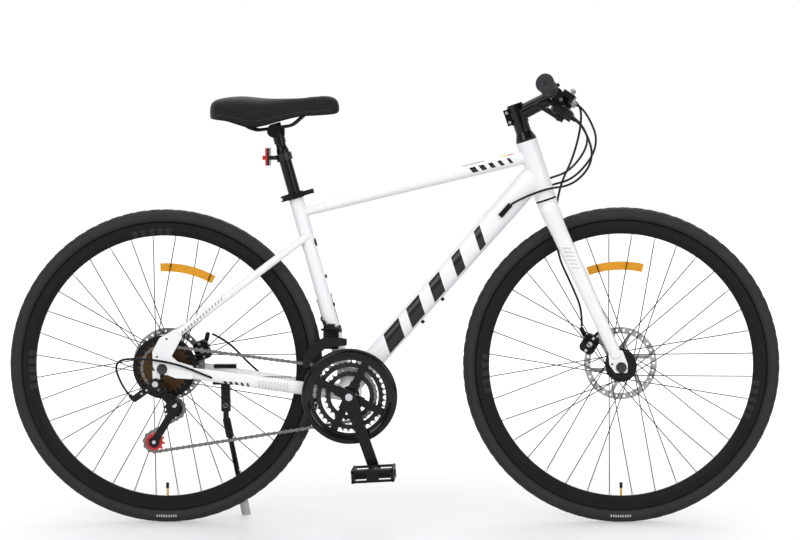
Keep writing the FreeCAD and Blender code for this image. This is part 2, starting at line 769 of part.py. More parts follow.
# Seat clamp and its quick release
collar_low = SEAT_TOP - SEAT_UP * 13.0
collar = ring("collar", 19.5, dims.seat_tube_radius, 14.0, collar_low, SEAT_UP)
SEAT_BACK = SEAT_UP.cross(LEFT) * -1.0
if SEAT_BACK.x > 0:
    SEAT_BACK = SEAT_BACK * -1.0
skewer_at = collar_low + SEAT_UP * 7.0 + SEAT_BACK * 24.0
lug = block("lug", 13.0, 14.0, 13.0, skewer_at - SEAT_BACK * 2.0, SEAT_BACK, SEAT_UP)
lug_slit = block("lug_slit", 20.0, 2.5, 16.0, skewer_at - SEAT_BACK * 2.0, SEAT_BACK, SEAT_UP)
lug_hole = cylinder("lug_bore", dims.seat_tube_radius, 20.0, collar_low - SEAT_UP * 3.0, SEAT_UP)
skewer = cylinder("skewer", dims.pin_radius, 30.0, skewer_at + LEFT * 12.0, RIGHT)
skewer_nut = cylinder("skewer_nut", 6.5, 5.0, skewer_at + LEFT * 7.0, LEFT)
cam_pin = cylinder("cam_pin", dims.pin_radius, 13.0, skewer_at + RIGHT * 18.0 - SEAT_UP * 6.5, SEAT_UP)
seat_clamp = fuse("seat_clamp", cut("clamp_band", fuse("clamp_plain", collar, lug), lug_slit, lug_hole),
                  skewer, skewer_nut, cam_pin)
cam_at = skewer_at + RIGHT * 18.0
cam = cylinder("cam", 7.0, 12.0, cam_at - SEAT_UP * 6.0, SEAT_UP)
cam_hole = cylinder("cam_hole", dims.pin_radius + dims.running_gap, 20.0, cam_at - SEAT_UP * 10.0, SEAT_UP)
cam_slot = block("cam_slot", 16.0, 26.0, 5.4, cam_at - RIGHT * 6.0, SEAT_BACK, SEAT_UP)
qr_blade = padded_body("qr_blade", pose(cam_at - SEAT_UP * 5.0, SEAT_UP, SEAT_BACK * -1.0), 10.0, 2.4, [
    (-4.0, -7.0), (20.0, -10.0), (50.0, -9.0), (68.0, -4.0), (68.0, 1.0), (50.0, -3.0), (20.0, -4.0),
    (5.0, 4.0)])

# Fork
CROWN = HEAD_LOW + HEAD_DOWN * float(dims.crown_drop)
leg_way = FRONT - CROWN
leg_run = Vector(leg_way).normalize()
leg_fore = Vector(leg_run).cross(LEFT)
steerer_top = HEAD_TOP - HEAD_DOWN * (float(dims.stem_rise) + float(dims.stem_clamp_height) / 2 - 2.0)
steerer_length = (HEAD_LOW - steerer_top).Length + float(dims.crown_drop)
steerer = cylinder("steerer", dims.steerer_radius, steerer_length, steerer_top, HEAD_DOWN)
race_at = HEAD_LOW + HEAD_DOWN * (float(dims.cup_flange) + 0.4)
race = cone("crown_race", dims.head_radius, dims.head_radius - 2, dims.crown_drop - dims.cup_flange,
            race_at, HEAD_DOWN)
half_bridge = float(dims.leg_top_y)
crown = cylinder("crown_bridge", dims.crown_radius, half_bridge * 2, CROWN + RIGHT * half_bridge, LEFT)
leg_end = FRONT - leg_run * 24.0
leg_skin = loft("leg_skin", [
    oval("leg_top", CROWN + RIGHT * half_bridge, leg_way, leg_fore, dims.leg_top_depth / 2,
         dims.leg_top_width / 2),
    oval("leg_low", leg_end + RIGHT * float(dims.leg_low_y), leg_way, leg_fore, dims.leg_low_depth / 2,
         dims.leg_low_width / 2)], True)
shoulder = ball("crown_shoulder", dims.crown_radius, CROWN + RIGHT * half_bridge)
tip_y = dims.front_spacing / 2 + dims.dropout_thickness
tip_at = FRONT + RIGHT * float(tip_y)
tip_plate = side_plate("fork_tip_plate", -tip_y, dims.dropout_thickness, 4.0, [
    (float(leg_end.x) - 18.0, float(leg_end.z) + 8.0), (float(leg_end.x) + 12.0, float(leg_end.z) + 16.0),
    (FRONT.x + 14.0, FRONT.z + 6.0), (FRONT.x + 13.0, FRONT.z - 12.0), (FRONT.x - 13.0, FRONT.z - 12.0),
    (FRONT.x - 26.0, FRONT.z + 6.0)])
tip_slot = block("fork_tip_slot", dims.axle_radius * 2, dims.dropout_thickness, 30.0,
                 tip_at + vec(0, float(dims.dropout_thickness) / 2, -15.0))
tip_hole = cylinder("fork_tip_hole", dims.axle_radius, dims.dropout_thickness, tip_at, LEFT)
tip_eyelet = cylinder("fork_eyelet", 2.5, dims.dropout_thickness, tip_at + vec(-20.0, 0, 7.0), LEFT)
leg_solid = cut("leg_solid", fuse("leg_plain", leg_skin, shoulder, tip_plate), tip_slot, tip_hole,
                tip_eyelet)
fork_solid = fuse("fork_solid", steerer, race, crown, leg_solid, mirrored("leg_far", leg_solid))
fork_wall = 2.6
steerer_bore = cylinder("steerer_bore", dims.steerer_radius - fork_wall, steerer_length, steerer_top,
                        HEAD_DOWN)
crown_bore = cylinder("crown_bore", dims.crown_radius - 4, half_bridge * 2, CROWN + RIGHT * half_bridge,
                      LEFT)
leg_bore = loft("leg_bore", [
    oval("leg_bore_top", CROWN + RIGHT * half_bridge, leg_way, leg_fore, dims.leg_top_depth / 2 - fork_wall,
         dims.leg_top_width / 2 - fork_wall),
    oval("leg_bore_low", leg_end - leg_run * 14.0 + RIGHT * float(dims.leg_low_y), leg_way, leg_fore,
         dims.leg_low_depth / 2 - fork_wall - 1, dims.leg_low_width / 2 - fork_wall)], True)
fork = cut("fork", fork_solid, steerer_bore, crown_bore, leg_bore, mirrored("leg_bore_far", leg_bore))
left_leg_skin = mirrored("left_leg_skin", leg_skin)

# Stem and handlebar
STEM = HEAD_TOP - HEAD_DOWN * float(dims.stem_rise)
BAR = STEM + vec(dims.stem_reach, 0, dims.stem_lift)
stem_way = BAR - STEM
stem_tall = stem_way.cross(LEFT) * -1.0
clamp_low = STEM + HEAD_DOWN * (float(dims.stem_clamp_height) / 2)
stem_clamp = cylinder("stem_clamp", dims.stem_clamp_radius, dims.stem_clamp_height, clamp_low,
                      HEAD_DOWN * -1.0)
stem_neck = loft("stem_neck", [
    oval("stem_root", STEM, stem_way, stem_tall, dims.stem_clamp_height / 2 - 3,
         dims.stem_clamp_radius - 3),
    oval("stem_front", BAR, stem_way, stem_tall, dims.stem_clamp_radius - 3, dims.stem_clamp_radius)], True)
bar_clamp = cylinder("bar_clamp", dims.bar_clamp_radius + 7, 46.0, BAR + RIGHT * 23.0, LEFT)
bar_hole = cylinder("bar_hole", dims.bar_clamp_radius, 60.0, BAR + RIGHT * 30.0, LEFT)
steer_hole = cylinder("steer_hole", dims.steerer_radius, 120.0, STEM + HEAD_DOWN * 80.0, HEAD_DOWN * -1.0)
stem_run = Vector(stem_way).normalize()
stem_up = Vector(stem_tall).normalize()
stem_bits = []
for side in (-1.0, 1.0):
    for level in (-1.0, 1.0):
        at = BAR + stem_run * 8.0 + LEFT * (side * 15.0) + stem_up * (level * 17.5)
        stem_bits.append(cylinder("face_bolt", 4.0, 13.0, at, stem_run))
HEAD_BACK = Vector(-math.sin(head_lean), 0, -math.cos(head_lean))
for level in (-11.0, 11.0):
    at = STEM - HEAD_DOWN * level + HEAD_BACK * 22.0
    stem_bits.append(cylinder("clamp_bolt", 4.0, 30.0, at + RIGHT * 15.0, LEFT))
clamp_ears = block("clamp_ears", 16.0, 22.0, 36.0, STEM + HEAD_BACK * 20.0, HEAD_BACK, HEAD_DOWN)
stem_solid = cut("stem_solid", fuse("stem_plain", stem_clamp, stem_neck, bar_clamp, clamp_ears, *stem_bits),
                 bar_hole, steer_hole)
cover_low = HEAD_TOP - HEAD_DOWN * (float(dims.cup_flange) + 0.4)
cover = cone("headset_cover", dims.head_radius, dims.stem_clamp_radius - 2, 16.0, cover_low,
             HEAD_DOWN * -1.0)
spacer_height = float(dims.stem_rise) - float(dims.stem_clamp_height) / 2 - 16.0 - float(dims.cup_flange) - 0.4
spacer = cylinder("headset_spacer", dims.stem_clamp_radius - 2, spacer_height, cover_low - HEAD_DOWN * 16.0,
                  HEAD_DOWN * -1.0)
cap_low = STEM - HEAD_DOWN * (float(dims.stem_clamp_height) / 2)
cap = cylinder("stem_cap", dims.stem_clamp_radius - 2, 4.0, cap_low, HEAD_DOWN * -1.0)
stack = cut("headset_stack", fuse("stack_plain", cover, spacer), steer_hole)
stem = group("stem", stem_solid, stack, cap)

BAR_END = BAR + vec(-dims.bar_back, -dims.bar_half_width, dims.bar_rise)
bar_bend = BAR + RIGHT * 62.0
bar_run = (BAR_END - bar_bend).normalize()
far_end = vec(BAR_END.x, -BAR_END.y, BAR_END.z)
far_bend = vec(bar_bend.x, -bar_bend.y, bar_bend.z)
bar_tube = rod("bar_tube", [BAR_END, bar_bend, far_bend, far_end], 90.0, dims.bar_radius)
bar_middle = cylinder("bar_middle", dims.bar_clamp_radius, 80.0, BAR + RIGHT * 40.0, LEFT)
bar_bore = rod("bar_bore", [BAR_END, bar_bend, far_bend, far_end], 90.0, dims.bar_radius - 2.2)
handlebar = cut("handlebar", fuse("bar_solid", bar_tube, bar_middle), bar_bore)


def bar_point(back):
    return BAR_END - bar_run * back


grip_skin = cylinder("grip_skin", dims.grip_radius, dims.grip_length, bar_point(-3.0), bar_run * -1.0)
grip_flange = cylinder("grip_flange", dims.grip_radius + 1.8, 5.0, bar_point(-3.0), bar_run * -1.0)
grip_collar = cylinder("grip_collar", dims.grip_radius + 1.8, 4.0,
                       bar_point(float(dims.grip_length) - 7.0), bar_run * -1.0)
grip_hole = cylinder("grip_hole", dims.bar_radius, dims.grip_length, BAR_END, bar_run * -1.0)
grip_right = cut("grip_right", fuse("grip_plain", grip_skin, grip_flange, grip_collar), grip_hole)
grips = group("grips", grip_right, mirrored("grip_left", grip_right))

# Brake levers and shifters
droop = math.radians(float(dims.lever_droop))
reach_way = Vector(math.cos(droop), 0, -math.sin(droop))
reach_way = (reach_way - bar_run * reach_way.dot(bar_run)).normalize()
over_way = bar_run.cross(reach_way) * -1.0
if over_way.z < 0:
    over_way = over_way * -1.0


def at_bar(back, reach, over):
    return bar_point(back) + reach_way * reach + over_way * over


mount_hole = cylinder("mount_hole", dims.bar_radius, 60.0, bar_point(120.0), bar_run * -1.0)
mount_band = cylinder("mount_band", dims.bar_radius + 5, 18.0, bar_point(128.0), bar_run * -1.0)
mount_arm = block("mount_arm", 34.0, 24.0, 22.0, at_bar(148.0, 27.0, 0.0), reach_way, over_way)
LEVER = at_bar(140.0, 44.0, 0.0)
mount_fork = block("mount_fork", 24.0, 24.0, 22.0, at_bar(144.0, 44.0, 0.0), reach_way, over_way)
mount_gap = block("mount_gap", 48.0, 40.0, 12.6, at_bar(135.0, 54.0, 0.0), reach_way, over_way)
mount_pin = cylinder("mount_pin", dims.pin_radius, 22.0, LEVER - over_way * 11.0, over_way)
pod_at = at_bar(160.0, 44.0, -14.0)
pod = cylinder("pod", 24.0, 20.0, pod_at - over_way * 20.0, over_way)
pod_neck = block("pod_neck", 30.0, 20.0, 20.0, at_bar(158.0, 26.0, -15.0), reach_way, over_way)
pod_window = block("pod_window", 26.0, 26.0, 12.0, at_bar(160.0, 38.0, 13.0), reach_way, over_way)
pod_pin = cylinder("pod_pin", 4.0, 12.0, pod_at - over_way * 19.0, over_way * -1.0)
pod_ferrule = cylinder("pod_ferrule", 4.0, 16.0, at_bar(166.0, 60.0, -24.0), reach_way)
brake_ferrule = cylinder("brake_ferrule", 4.0, 16.0, at_bar(153.0, 50.0, 6.0), bar_run * -0.6 + reach_way)
mount_plain = fuse("mount_plain", mount_band, mount_arm, mount_fork, pod, pod_neck, pod_window)
mount_right = fuse("mount_right", cut("mount_cut", mount_plain, mount_hole, mount_gap), mount_pin, pod_pin,
                   pod_ferrule, brake_ferrule)
lever_mounts = group("lever_mounts", mount_right, mirrored("mount_left", mount_right))

lever_place = pose(LEVER - over_way * 5.8, over_way, reach_way)
out_sign = 1.0 if over_way.cross(reach_way).dot(bar_run) > 0 else -1.0
lever_plate = padded_body("lever_plate", lever_place, 11.6, 3.0, [
    (-8.0, -6.0 * out_sign), (8.0, -8.0 * out_sign), (22.0, 20.0 * out_sign), (20.0, 70.0 * out_sign),
    (22.0, 118.0 * out_sign), (14.0, 119.0 * out_sign), (11.0, 70.0 * out_sign), (8.0, 24.0 * out_sign),
    (-8.0, 8.0 * out_sign)])
lever_hole = cylinder("lever_hole", dims.pin_radius + dims.running_gap, 40.0, LEVER - over_way * 20.0,
                      over_way)
brake_lever_right = cut("brake_lever_right", lever_plate, lever_hole)
brake_lever_left = mirrored("brake_lever_left", brake_lever_right)

shift_at = pod_at - over_way * 20.4
shift_place = pose(shift_at - over_way * 9.0, over_way, reach_way * -1.0)
shift_hub = cylinder("shift_hub", 11.0, 9.0, shift_at, over_way * -1.0)
shift_blade = padded_body("shift_blade", shift_place, 8.0, 3.0, [
    (0.0, -7.5), (40.0, -6.0), (57.0, -8.0), (57.0, 8.0), (40.0, 6.0), (0.0, 7.5)])
shift_hole = cylinder("shift_hole", 4.05, 30.0, shift_at + over_way * 5.0, over_way * -1.0)
shift_lever_right = cut("shift_lever_right", fuse("shift_plain", shift_hub, shift_blade), shift_hole)
shift_lever_left = mirrored("shift_lever_left", shift_lever_right)

# Chain path
pitch = float(dims.chain_pitch)


def tooth_radius(teeth):
    return dims.chain_pitch * (teeth / (2.0 * math.pi))


RING_TEETH = (28, 38, 48)
SPROCKET_TEETH = (28, 24, 22, 20, 18, 16, 14)
JOCKEY_TEETH = 11
CAGE = vec(dims.cage_pivot_x, dims.chain_y, dims.cage_pivot_z)
GUIDE_OFFSET = Vector(-2.0, 0, -11.0)
TENSION_OFFSET = Vector(-46.0, 0, -84.0)


def wheel_list(turn):
    spin = Rotation(LEFT, turn)
    return ((BRACKET, float(tooth_radius(28)), -1.0),
            (CAGE + spin.multVec(TENSION_OFFSET), float(tooth_radius(11)), -1.0),
            (CAGE + spin.multVec(GUIDE_OFFSET), float(tooth_radius(11)), 1.0),
            (REAR, float(tooth_radius(24)), -1.0))


def chain_track(turn):
    """Tangent lines and arcs round the four wheels, in the order the chain runs."""
    wheels = wheel_list(turn)
    lines = []
    for i in range(4):
        (first, r1, s1), (second, r2, s2) = wheels[i], wheels[(i + 1) % 4]
        gap = second - first
        flat = math.hypot(gap.x, gap.z)
        angle = math.atan2(gap.z, gap.x) - math.asin((s2 * r2 - s1 * r1) / flat)
        side = Vector(-math.sin(angle), 0, math.cos(angle))
        start = vec(first.x, dims.chain_y, first.z) - side * (s1 * r1)
        end = vec(second.x, dims.chain_y, second.z) - side * (s2 * r2)
        lines.append((start, end))
    track = []
    for i in range(4):
        start, end = lines[i]
        track.append(("line", start, end, (end - start).Length))
        centre, radius, sense = wheels[(i + 1) % 4]
        leave = lines[(i + 1) % 4][0]
        first = math.atan2(end.z - centre.z, end.x - centre.x)
        last = math.atan2(leave.z - centre.z, leave.x - centre.x)
        swing = (last - first) * sense % (2.0 * math.pi)
        track.append(("arc", (centre, radius, first, sense), None, radius * swing))
    return track


def track_length(turn):
    return sum(part[3] for part in chain_track(turn))


def settle_cage():
    """Turns the cage until the loop holds an even number of links."""
    links = 2 * round(track_length(0.0) / pitch / 2.0)
    low, high = -25.0, 25.0
    rising = track_length(high) > track_length(low)
    for _ in range(60):
        middle = (low + high) / 2.0
        if (track_length(middle) > links * pitch) == rising:
            high = middle
        else:
            low = middle
    return (low + high) / 2.0, links


cage_turn, link_count = settle_cage()
track = chain_track(cage_turn)


def track_point(distance):
    for kind, first, second, length in track:
        if distance <= length:
            if kind == "line":
                return first + (second - first) * (distance / length)
            centre, radius, start, sense = first
            angle = start + sense * distance / radius
            return vec(centre.x + radius * math.cos(angle), dims.chain_y,
                       centre.z + radius * math.sin(angle))
        distance -= length
    return track_point(0.0)


rollers = [track_point(pitch * number) for number in range(link_count)]
wheels = wheel_list(cage_turn)
TENSION = vec(wheels[1][0].x, dims.chain_y, wheels[1][0].z)
GUIDE = vec(wheels[2][0].x, dims.chain_y, wheels[2][0].z)
print("chain links %d, cage turn %.3f, length left over %.4f" % (
    link_count, cage_turn, track_length(cage_turn) - link_count * pitch))
print("guide wheel %.2f %.2f, tension wheel %.2f %.2f" % (GUIDE.x, GUIDE.z, TENSION.x, TENSION.z))


def roller_angle(centre, radius):
    """Angle of a roller lying in its seat on the given wheel."""
    nearest = min(rollers, key=lambda point: abs(math.hypot(point.x - centre.x,
            point.z - centre.z) - radius))
    return math.degrees(math.atan2(nearest.z - centre.z, nearest.x - centre.x))


def toothed(label, teeth, thickness, inner, centre, middle_y, start, tip=2.2):
    """A toothed disc: roller seats cut from a round blank."""
    radius = tooth_radius(teeth)
    near = vec(centre.x, float(middle_y) - float(thickness) / 2, centre.z)
    blank = ring(label + "_blank", radius + tip, inner, thickness, near, LEFT)
    root = near + AHEAD * float(radius)
    bed = cylinder(label + "_bed", dims.roller_seat, thickness, root, LEFT)
    mouth = block(label + "_mouth", 8.0, thickness, dims.roller_seat * 2,
                  root + vec(4.0, float(thickness) / 2, 0))
    seat = fuse(label + "_seat", bed, mouth)
    places = [turned(near, -(start + 360.0 * number / teeth)) for number in range(teeth)]
    return cut(label, blank, copies(label + "_seats", seat, places))


# Chain links
plate_in = dims.roller_width / 2
plate_out = plate_in + dims.chain_plate + dims.chain_plate_gap
half_pitch = dims.chain_pitch / 2


def link_plates(label, near_y):
    pieces = []
    for side, low in (("near", -near_y - dims.chain_plate), ("far", near_y)):
        for name, way in (("back", -1.0), ("fore", 1.0)):
            at = vec(way * float(half_pitch), low, 0)
            pieces.append(cylinder("%s_%s_%s" % (label, side, name), dims.chain_plate_radius,
                                   dims.chain_plate, at, LEFT))
        at = vec(0, float(low) + float(dims.chain_plate) / 2, 0)
        pieces.append(block("%s_%s_waist" % (label, side), dims.chain_pitch, dims.chain_plate, 5.6, at))
    return pieces


outer_bits = link_plates("outer_link", plate_out)
inner_bits = link_plates("inner_link", plate_in)
bores = []
for name, way in (("back", -1.0), ("fore", 1.0)):
    pin_half = float(plate_out + dims.chain_plate) + 0.1
    at = vec(way * float(half_pitch), -pin_half, 0)
    outer_bits.append(cylinder("chain_pin_" + name, dims.chain_pin_radius, pin_half * 2, at, LEFT))
    at = vec(way * float(half_pitch), -float(plate_in), 0)
    inner_bits.append(cylinder("chain_roller_" + name, dims.roller_radius, dims.roller_width, at, LEFT))
    at = vec(way * float(half_pitch), -6.0, 0)
    bores.append(cylinder("chain_bore_" + name, dims.chain_pin_radius + dims.chain_bush_gap, 12.0, at,
                          LEFT))
outer_link = fuse("outer_link", *outer_bits)
inner_link = cut("inner_link", fuse("inner_link_plain", *inner_bits), *bores)
link_places = {0: [], 1: []}
for number in range(link_count):
    first = rollers[number]
    second = rollers[(number + 1) % link_count]
    link_places[number % 2].append(pose((first + second) * 0.5, (second - first).cross(LEFT),
                                        second - first))
chain = group("chain", copies("outer_links", outer_link, link_places[0]),
              copies("inner_links", inner_link, link_places[1]))

# Freewheel, chainrings, guard and cranks
free_bore = thread_radius + dims.running_gap
sprocket_start = roller_angle(REAR, float(tooth_radius(24)))
sprocket_bits = []
for number, teeth in enumerate(SPROCKET_TEETH):
    at_y = float(dims.chain_y) + float(dims.sprocket_step) * (1 - number)
    sprocket_bits.append(toothed("sprocket_%d" % teeth, teeth, dims.sprocket_thickness, free_bore, REAR,
                                 at_y, sprocket_start))
free_near = float(dims.chain_y) - float(dims.sprocket_step) * 5 - 1.4
free_far = float(dims.chain_y) + float(dims.sprocket_step) + 1.6
free_body = ring("freewheel_body", 24.0, free_bore, free_far - free_near, REAR + vec(0, free_near, 0), LEFT)
freewheel = fuse("freewheel", free_body, *sprocket_bits)

ring_start = roller_angle(BRACKET, float(tooth_radius(28)))
ring_y = [dims.chain_y - dims.ring_step * number for number in range(3)]
crank_turn = -90.0 + float(dims.crank_lean)
CRANK = Vector(math.cos(math.radians(crank_turn)), 0, math.sin(math.radians(crank_turn)))
spider_near = ring_y[2] - dims.ring_thickness / 2
small_ring = toothed("small_ring", 28, dims.ring_thickness, 43.0, BRACKET, ring_y[0], ring_start)
middle_ring = toothed("middle_ring", 38, dims.ring_thickness, 63.0, BRACKET, ring_y[1], ring_start)
large_ring = toothed("large_ring", 48, dims.ring_thickness, 84.0, BRACKET, ring_y[2], ring_start)
small_posts = []
middle_posts = []
for number in range(4):
    angle = crank_turn + 45.0 + 90.0 * number
    for posts, out, deep in ((small_posts, 47.0, ring_y[0]), (middle_posts, 67.0, ring_y[1])):
        at = around(BRACKET, out, angle) + vec(0, spider_near, 0)
        posts.append(cylinder("ring_post", 3.6, deep - dims.ring_thickness / 2 - spider_near, at, LEFT))
chainrings = group("chainrings", fuse("small_ring_set", small_ring, *small_posts),
                   fuse("middle_ring_set", middle_ring, *middle_posts), large_ring)

spider_thick = 4.0
spider_out = spider_near - spider_thick
guard_r = dims.guard_radius
guard_in = dims.guard_inner_radius
chain_guard = turned_body("chain_guard", BRACKET, [
    (guard_in, spider_out), (guard_in, spider_out - 2), (guard_in + 10, spider_out - 5),
    (guard_r - 4, spider_out - 5),
    (guard_r, spider_out - 2), (guard_r, spider_out + 3), (guard_r - 2, spider_out + 3),
    (guard_r - 2, spider_out - 1.4),
    (guard_r - 4.6, spider_out - 2.8), (guard_in + 10.5, spider_out - 2.8), (guard_in + 4, spider_out)])

arm_near = float(spider_out) - 18.0
arm_thick = 11.0
crank_bits = [cylinder("spindle", dims.spindle_radius, 128.0, BRACKET + RIGHT * 64.0, LEFT)]
crank_bits.append(cylinder("crank_boss", 17.0, -39.0 - arm_near, BRACKET + vec(0, arm_near, 0), LEFT))
for number in range(4):
    angle = crank_turn + 45.0 + 90.0 * number
    out = around(Vector(0, 0, 0), 1.0, angle)
    arm_y = float(spider_near) - spider_thick / 2
    crank_bits.append(block("spider_arm", 82.0, spider_thick, 17.0,
                            BRACKET + vec(0, arm_y, 0) + out * 50.0, out,
                            out.cross(LEFT)))
    crank_bits.append(block("spider_root", 30.0, 10.0, 22.0, BRACKET + vec(0, arm_y, 0) + out * 18.0, out,
                            out.cross(LEFT)))
arm_outline = [(-10.0, -15.0), (10.0, -17.0), (70.0, -12.5), (dims.crank_length - 4, -12.0),
               (dims.crank_length + 9, -9.0),
               (dims.crank_length + 13, 0.0), (dims.crank_length + 9, 9.0), (dims.crank_length - 4, 12.0),
               (70.0, 12.5),
               (10.0, 17.0), (-10.0, 15.0)]
arm_right = padded_body("crank_arm_right", pose(BRACKET + vec(0, arm_near + arm_thick, 0), RIGHT, CRANK),
                        arm_thick, 5.0, arm_outline)
arm_left = padded_body("crank_arm_left", pose(BRACKET + vec(0, -arm_near - arm_thick, 0), LEFT,
                                              CRANK * -1.0), arm_thick, 5.0, arm_outline)
crank_bits += [arm_right, arm_left]
crank_bits.append(cylinder("crank_boss_left", 15.0, -arm_near - 46.0, BRACKET + LEFT * 46.0, LEFT))
crank_bits.append(cylinder("crank_bolt_right", 8.0, 2.0, BRACKET + vec(0, arm_near, 0), RIGHT))
crank_bits.append(cylinder("crank_bolt_left", 8.0, 2.0, BRACKET + vec(0, -arm_near, 0), LEFT))
PEDAL_RIGHT = BRACKET + CRANK * float(dims.crank_length) + vec(0, arm_near, 0)
PEDAL_LEFT = BRACKET - CRANK * float(dims.crank_length) + vec(0, -arm_near, 0)
axle_long = float(dims.pedal_width) + 4.0
for side, at, way in (("right", PEDAL_RIGHT, RIGHT), ("left", PEDAL_LEFT, LEFT)):
    crank_bits.append(cylinder("pedal_axle_" + side, dims.pedal_axle_radius, axle_long, at, way))
    crank_bits.append(cylinder("pedal_shoulder_" + side, 7.0, 3.4, at, way))
cranks = fuse("cranks", *crank_bits)


def pedal(label, root, way, tilt):
    long_dir = Vector(math.cos(math.radians(tilt)), 0, math.sin(math.radians(tilt)))
    thick_dir = long_dir.cross(way)
    inner = root + way * 4.0
    half_long = dims.pedal_length / 2
    width = dims.pedal_width
    low = inner - thick_dir * (float(dims.pedal_thickness) / 2)
    outline = [(-half_long, 0.0), (half_long, 0.0), (half_long, width - 10), (half_long - 12, width),
               (12 - half_long, width), (-half_long, width - 10)]
    window_fore = [(13.0, 10.0), (half_long - 9, 10.0), (half_long - 9, width - 16),
                   (half_long - 15, width - 9), (13.0, width - 9)]
    window_back = [(-13.0, 10.0), (9 - half_long, 10.0), (9 - half_long, width - 16),
                   (15 - half_long, width - 9), (-13.0, width - 9)]
    hand = 1.0 if long_dir.cross(way).dot(thick_dir) > 0 else -1.0
    place = Placement(low, Rotation(long_dir, way, thick_dir * hand, "ZXY"))
    body = padded_body(label + "_cage", place, dims.pedal_thickness, 2.5, outline, window_fore, window_back)
    hole = cylinder(label + "_bore", dims.pedal_axle_radius + dims.running_gap, axle_long + 0.3, root, way)
    return cut(label, body, hole)


pedal_right = pedal("pedal_right", PEDAL_RIGHT, RIGHT, 3.0)
pedal_left = pedal("pedal_left", PEDAL_LEFT, LEFT, 180.0 - float(dims.seat_angle))

# Rear derailleur
jockey_bore = dims.jockey_bolt_radius + dims.running_gap
guide_start = roller_angle(GUIDE, float(tooth_radius(11)))
tension_start = roller_angle(TENSION, float(tooth_radius(11)))
jockey_upper = toothed("jockey_upper", JOCKEY_TEETH, dims.jockey_thickness, jockey_bore, GUIDE,
                       dims.chain_y, guide_start, 1.2)
jockey_lower = toothed("jockey_lower", JOCKEY_TEETH, dims.jockey_thickness, jockey_bore, TENSION,
                       dims.chain_y, tension_start, 1.2)
cage_run = TENSION - GUIDE
cage_bits = []
for side, low in (("outer", -7.5), ("inner", 6.0)):
    near = float(dims.chain_y) + low
    for name, at in (("guide", GUIDE), ("tension", TENSION)):
        cage_bits.append(cylinder("cage_%s_%s" % (side, name), 12.0, 1.5, vec(at.x, near, at.z), LEFT))
    middle = (GUIDE + TENSION) * 0.5
    cage_bits.append(block("cage_%s_bar" % side, cage_run.Length, 1.5, 16.0,
                           vec(middle.x, near + 0.75, middle.z), cage_run,
                           cage_run.cross(LEFT)))
for name, at in (("guide", GUIDE), ("tension", TENSION)):
    near = vec(at.x, float(dims.chain_y) - 7.5, at.z)
    cage_bits.append(cylinder("cage_bolt_" + name, dims.jockey_bolt_radius, 16.0, near, LEFT))
cage_bits.append(cylinder("cage_head", 5.0, 1.5, vec(TENSION.x, float(dims.chain_y) - 7.5, TENSION.z),
                          RIGHT))
cage_near = float(dims.chain_y) - 7.5
cage_bits.append(cylinder("cage_root", 13.0, 1.5, vec(CAGE.x, cage_near, CAGE.z), LEFT))
cage_bits.append(cylinder("cage_pin", dims.axle_radius, 13.0, vec(CAGE.x, cage_near, CAGE.z), RIGHT))
rd_cage = fuse("rd_cage", *cage_bits)

RD_AXIS = Vector(0.807, 0, 0.590).normalize()
RD_HIGH = Vector(-499.0, -84.0, 297.0)
RD_LOW = Vector(-480.0, -70.0, 271.0)
rd_span = RD_LOW - RD_HIGH
RD_AXIS = (RD_AXIS - Vector(rd_span).normalize() * RD_AXIS.dot(Vector(rd_span).normalize())).normalize()
RD_AXIS.y = 0.0
RD_AXIS.normalize()
pin_bore = dims.pin_radius + dims.running_gap
link_bits = []
for name, at in (("high", RD_HIGH), ("low", RD_LOW)):
    link_bits.append(cylinder("rd_barrel_" + name, 5.5, 18.0, at - RD_AXIS * 9.0, RD_AXIS))
link_bits.append(block("rd_bar", rd_span.Length, 18.0, 7.0, (RD_HIGH + RD_LOW) * 0.5, rd_span,
                       rd_span.cross(RD_AXIS)))
link_holes = [cylinder("rd_hole", pin_bore, 30.0, at - RD_AXIS * 15.0, RD_AXIS) for at in (RD_HIGH, RD_LOW)]
rd_link = cut("rd_link", fuse("rd_link_plain", *link_bits), *link_holes)

bolt_face = float(drop_y) + float(dims.dropout_thickness)
HANGER = vec(dims.hanger_x, -bolt_face, dims.hanger_z)
mount_bits = [cylinder("rd_boss", 12.0, 17.0, HANGER, RIGHT)]
mount_bits.append(cylinder("rd_hanger_bolt", dims.axle_radius, dims.dropout_thickness, HANGER, LEFT))
mount_bits.append(cylinder("rd_bolt_head", 8.0, 3.0, HANGER + RIGHT * 17.0, RIGHT))
ear_way = vec(HANGER.x, 0, HANGER.z) - vec(RD_HIGH.x, 0, RD_HIGH.z)
for side in (-1.0, 1.0):
    at = RD_HIGH + RD_AXIS * (side * 11.4)
    mount_bits.append(block("rd_ear", 24.0, 13.0, 4.0, at + Vector(ear_way).normalize() * 6.5, ear_way,
                            RD_AXIS))
mount_bits.append(cylinder("rd_high_pin", dims.pin_radius, 26.0, RD_HIGH - RD_AXIS * 13.0, RD_AXIS))
BARREL = Vector(-562.0, -84.0, 281.0)
barrel_way = Vector(-0.67, 0, 0.74)
tail = BARREL - HANGER
tail.y = 0.0
mount_bits.append(block("rd_tail", tail.Length, 12.0, 15.0, HANGER + vec(0, -9.0, 0) + tail * 0.5, tail,
                        tail.cross(LEFT)))
mount_bits.append(cylinder("rd_barrel_adjuster", 4.5, 17.0, BARREL - Vector(barrel_way).normalize() * 5.0,
                           barrel_way))
rd_mount = fuse("rd_mount", *mount_bits)

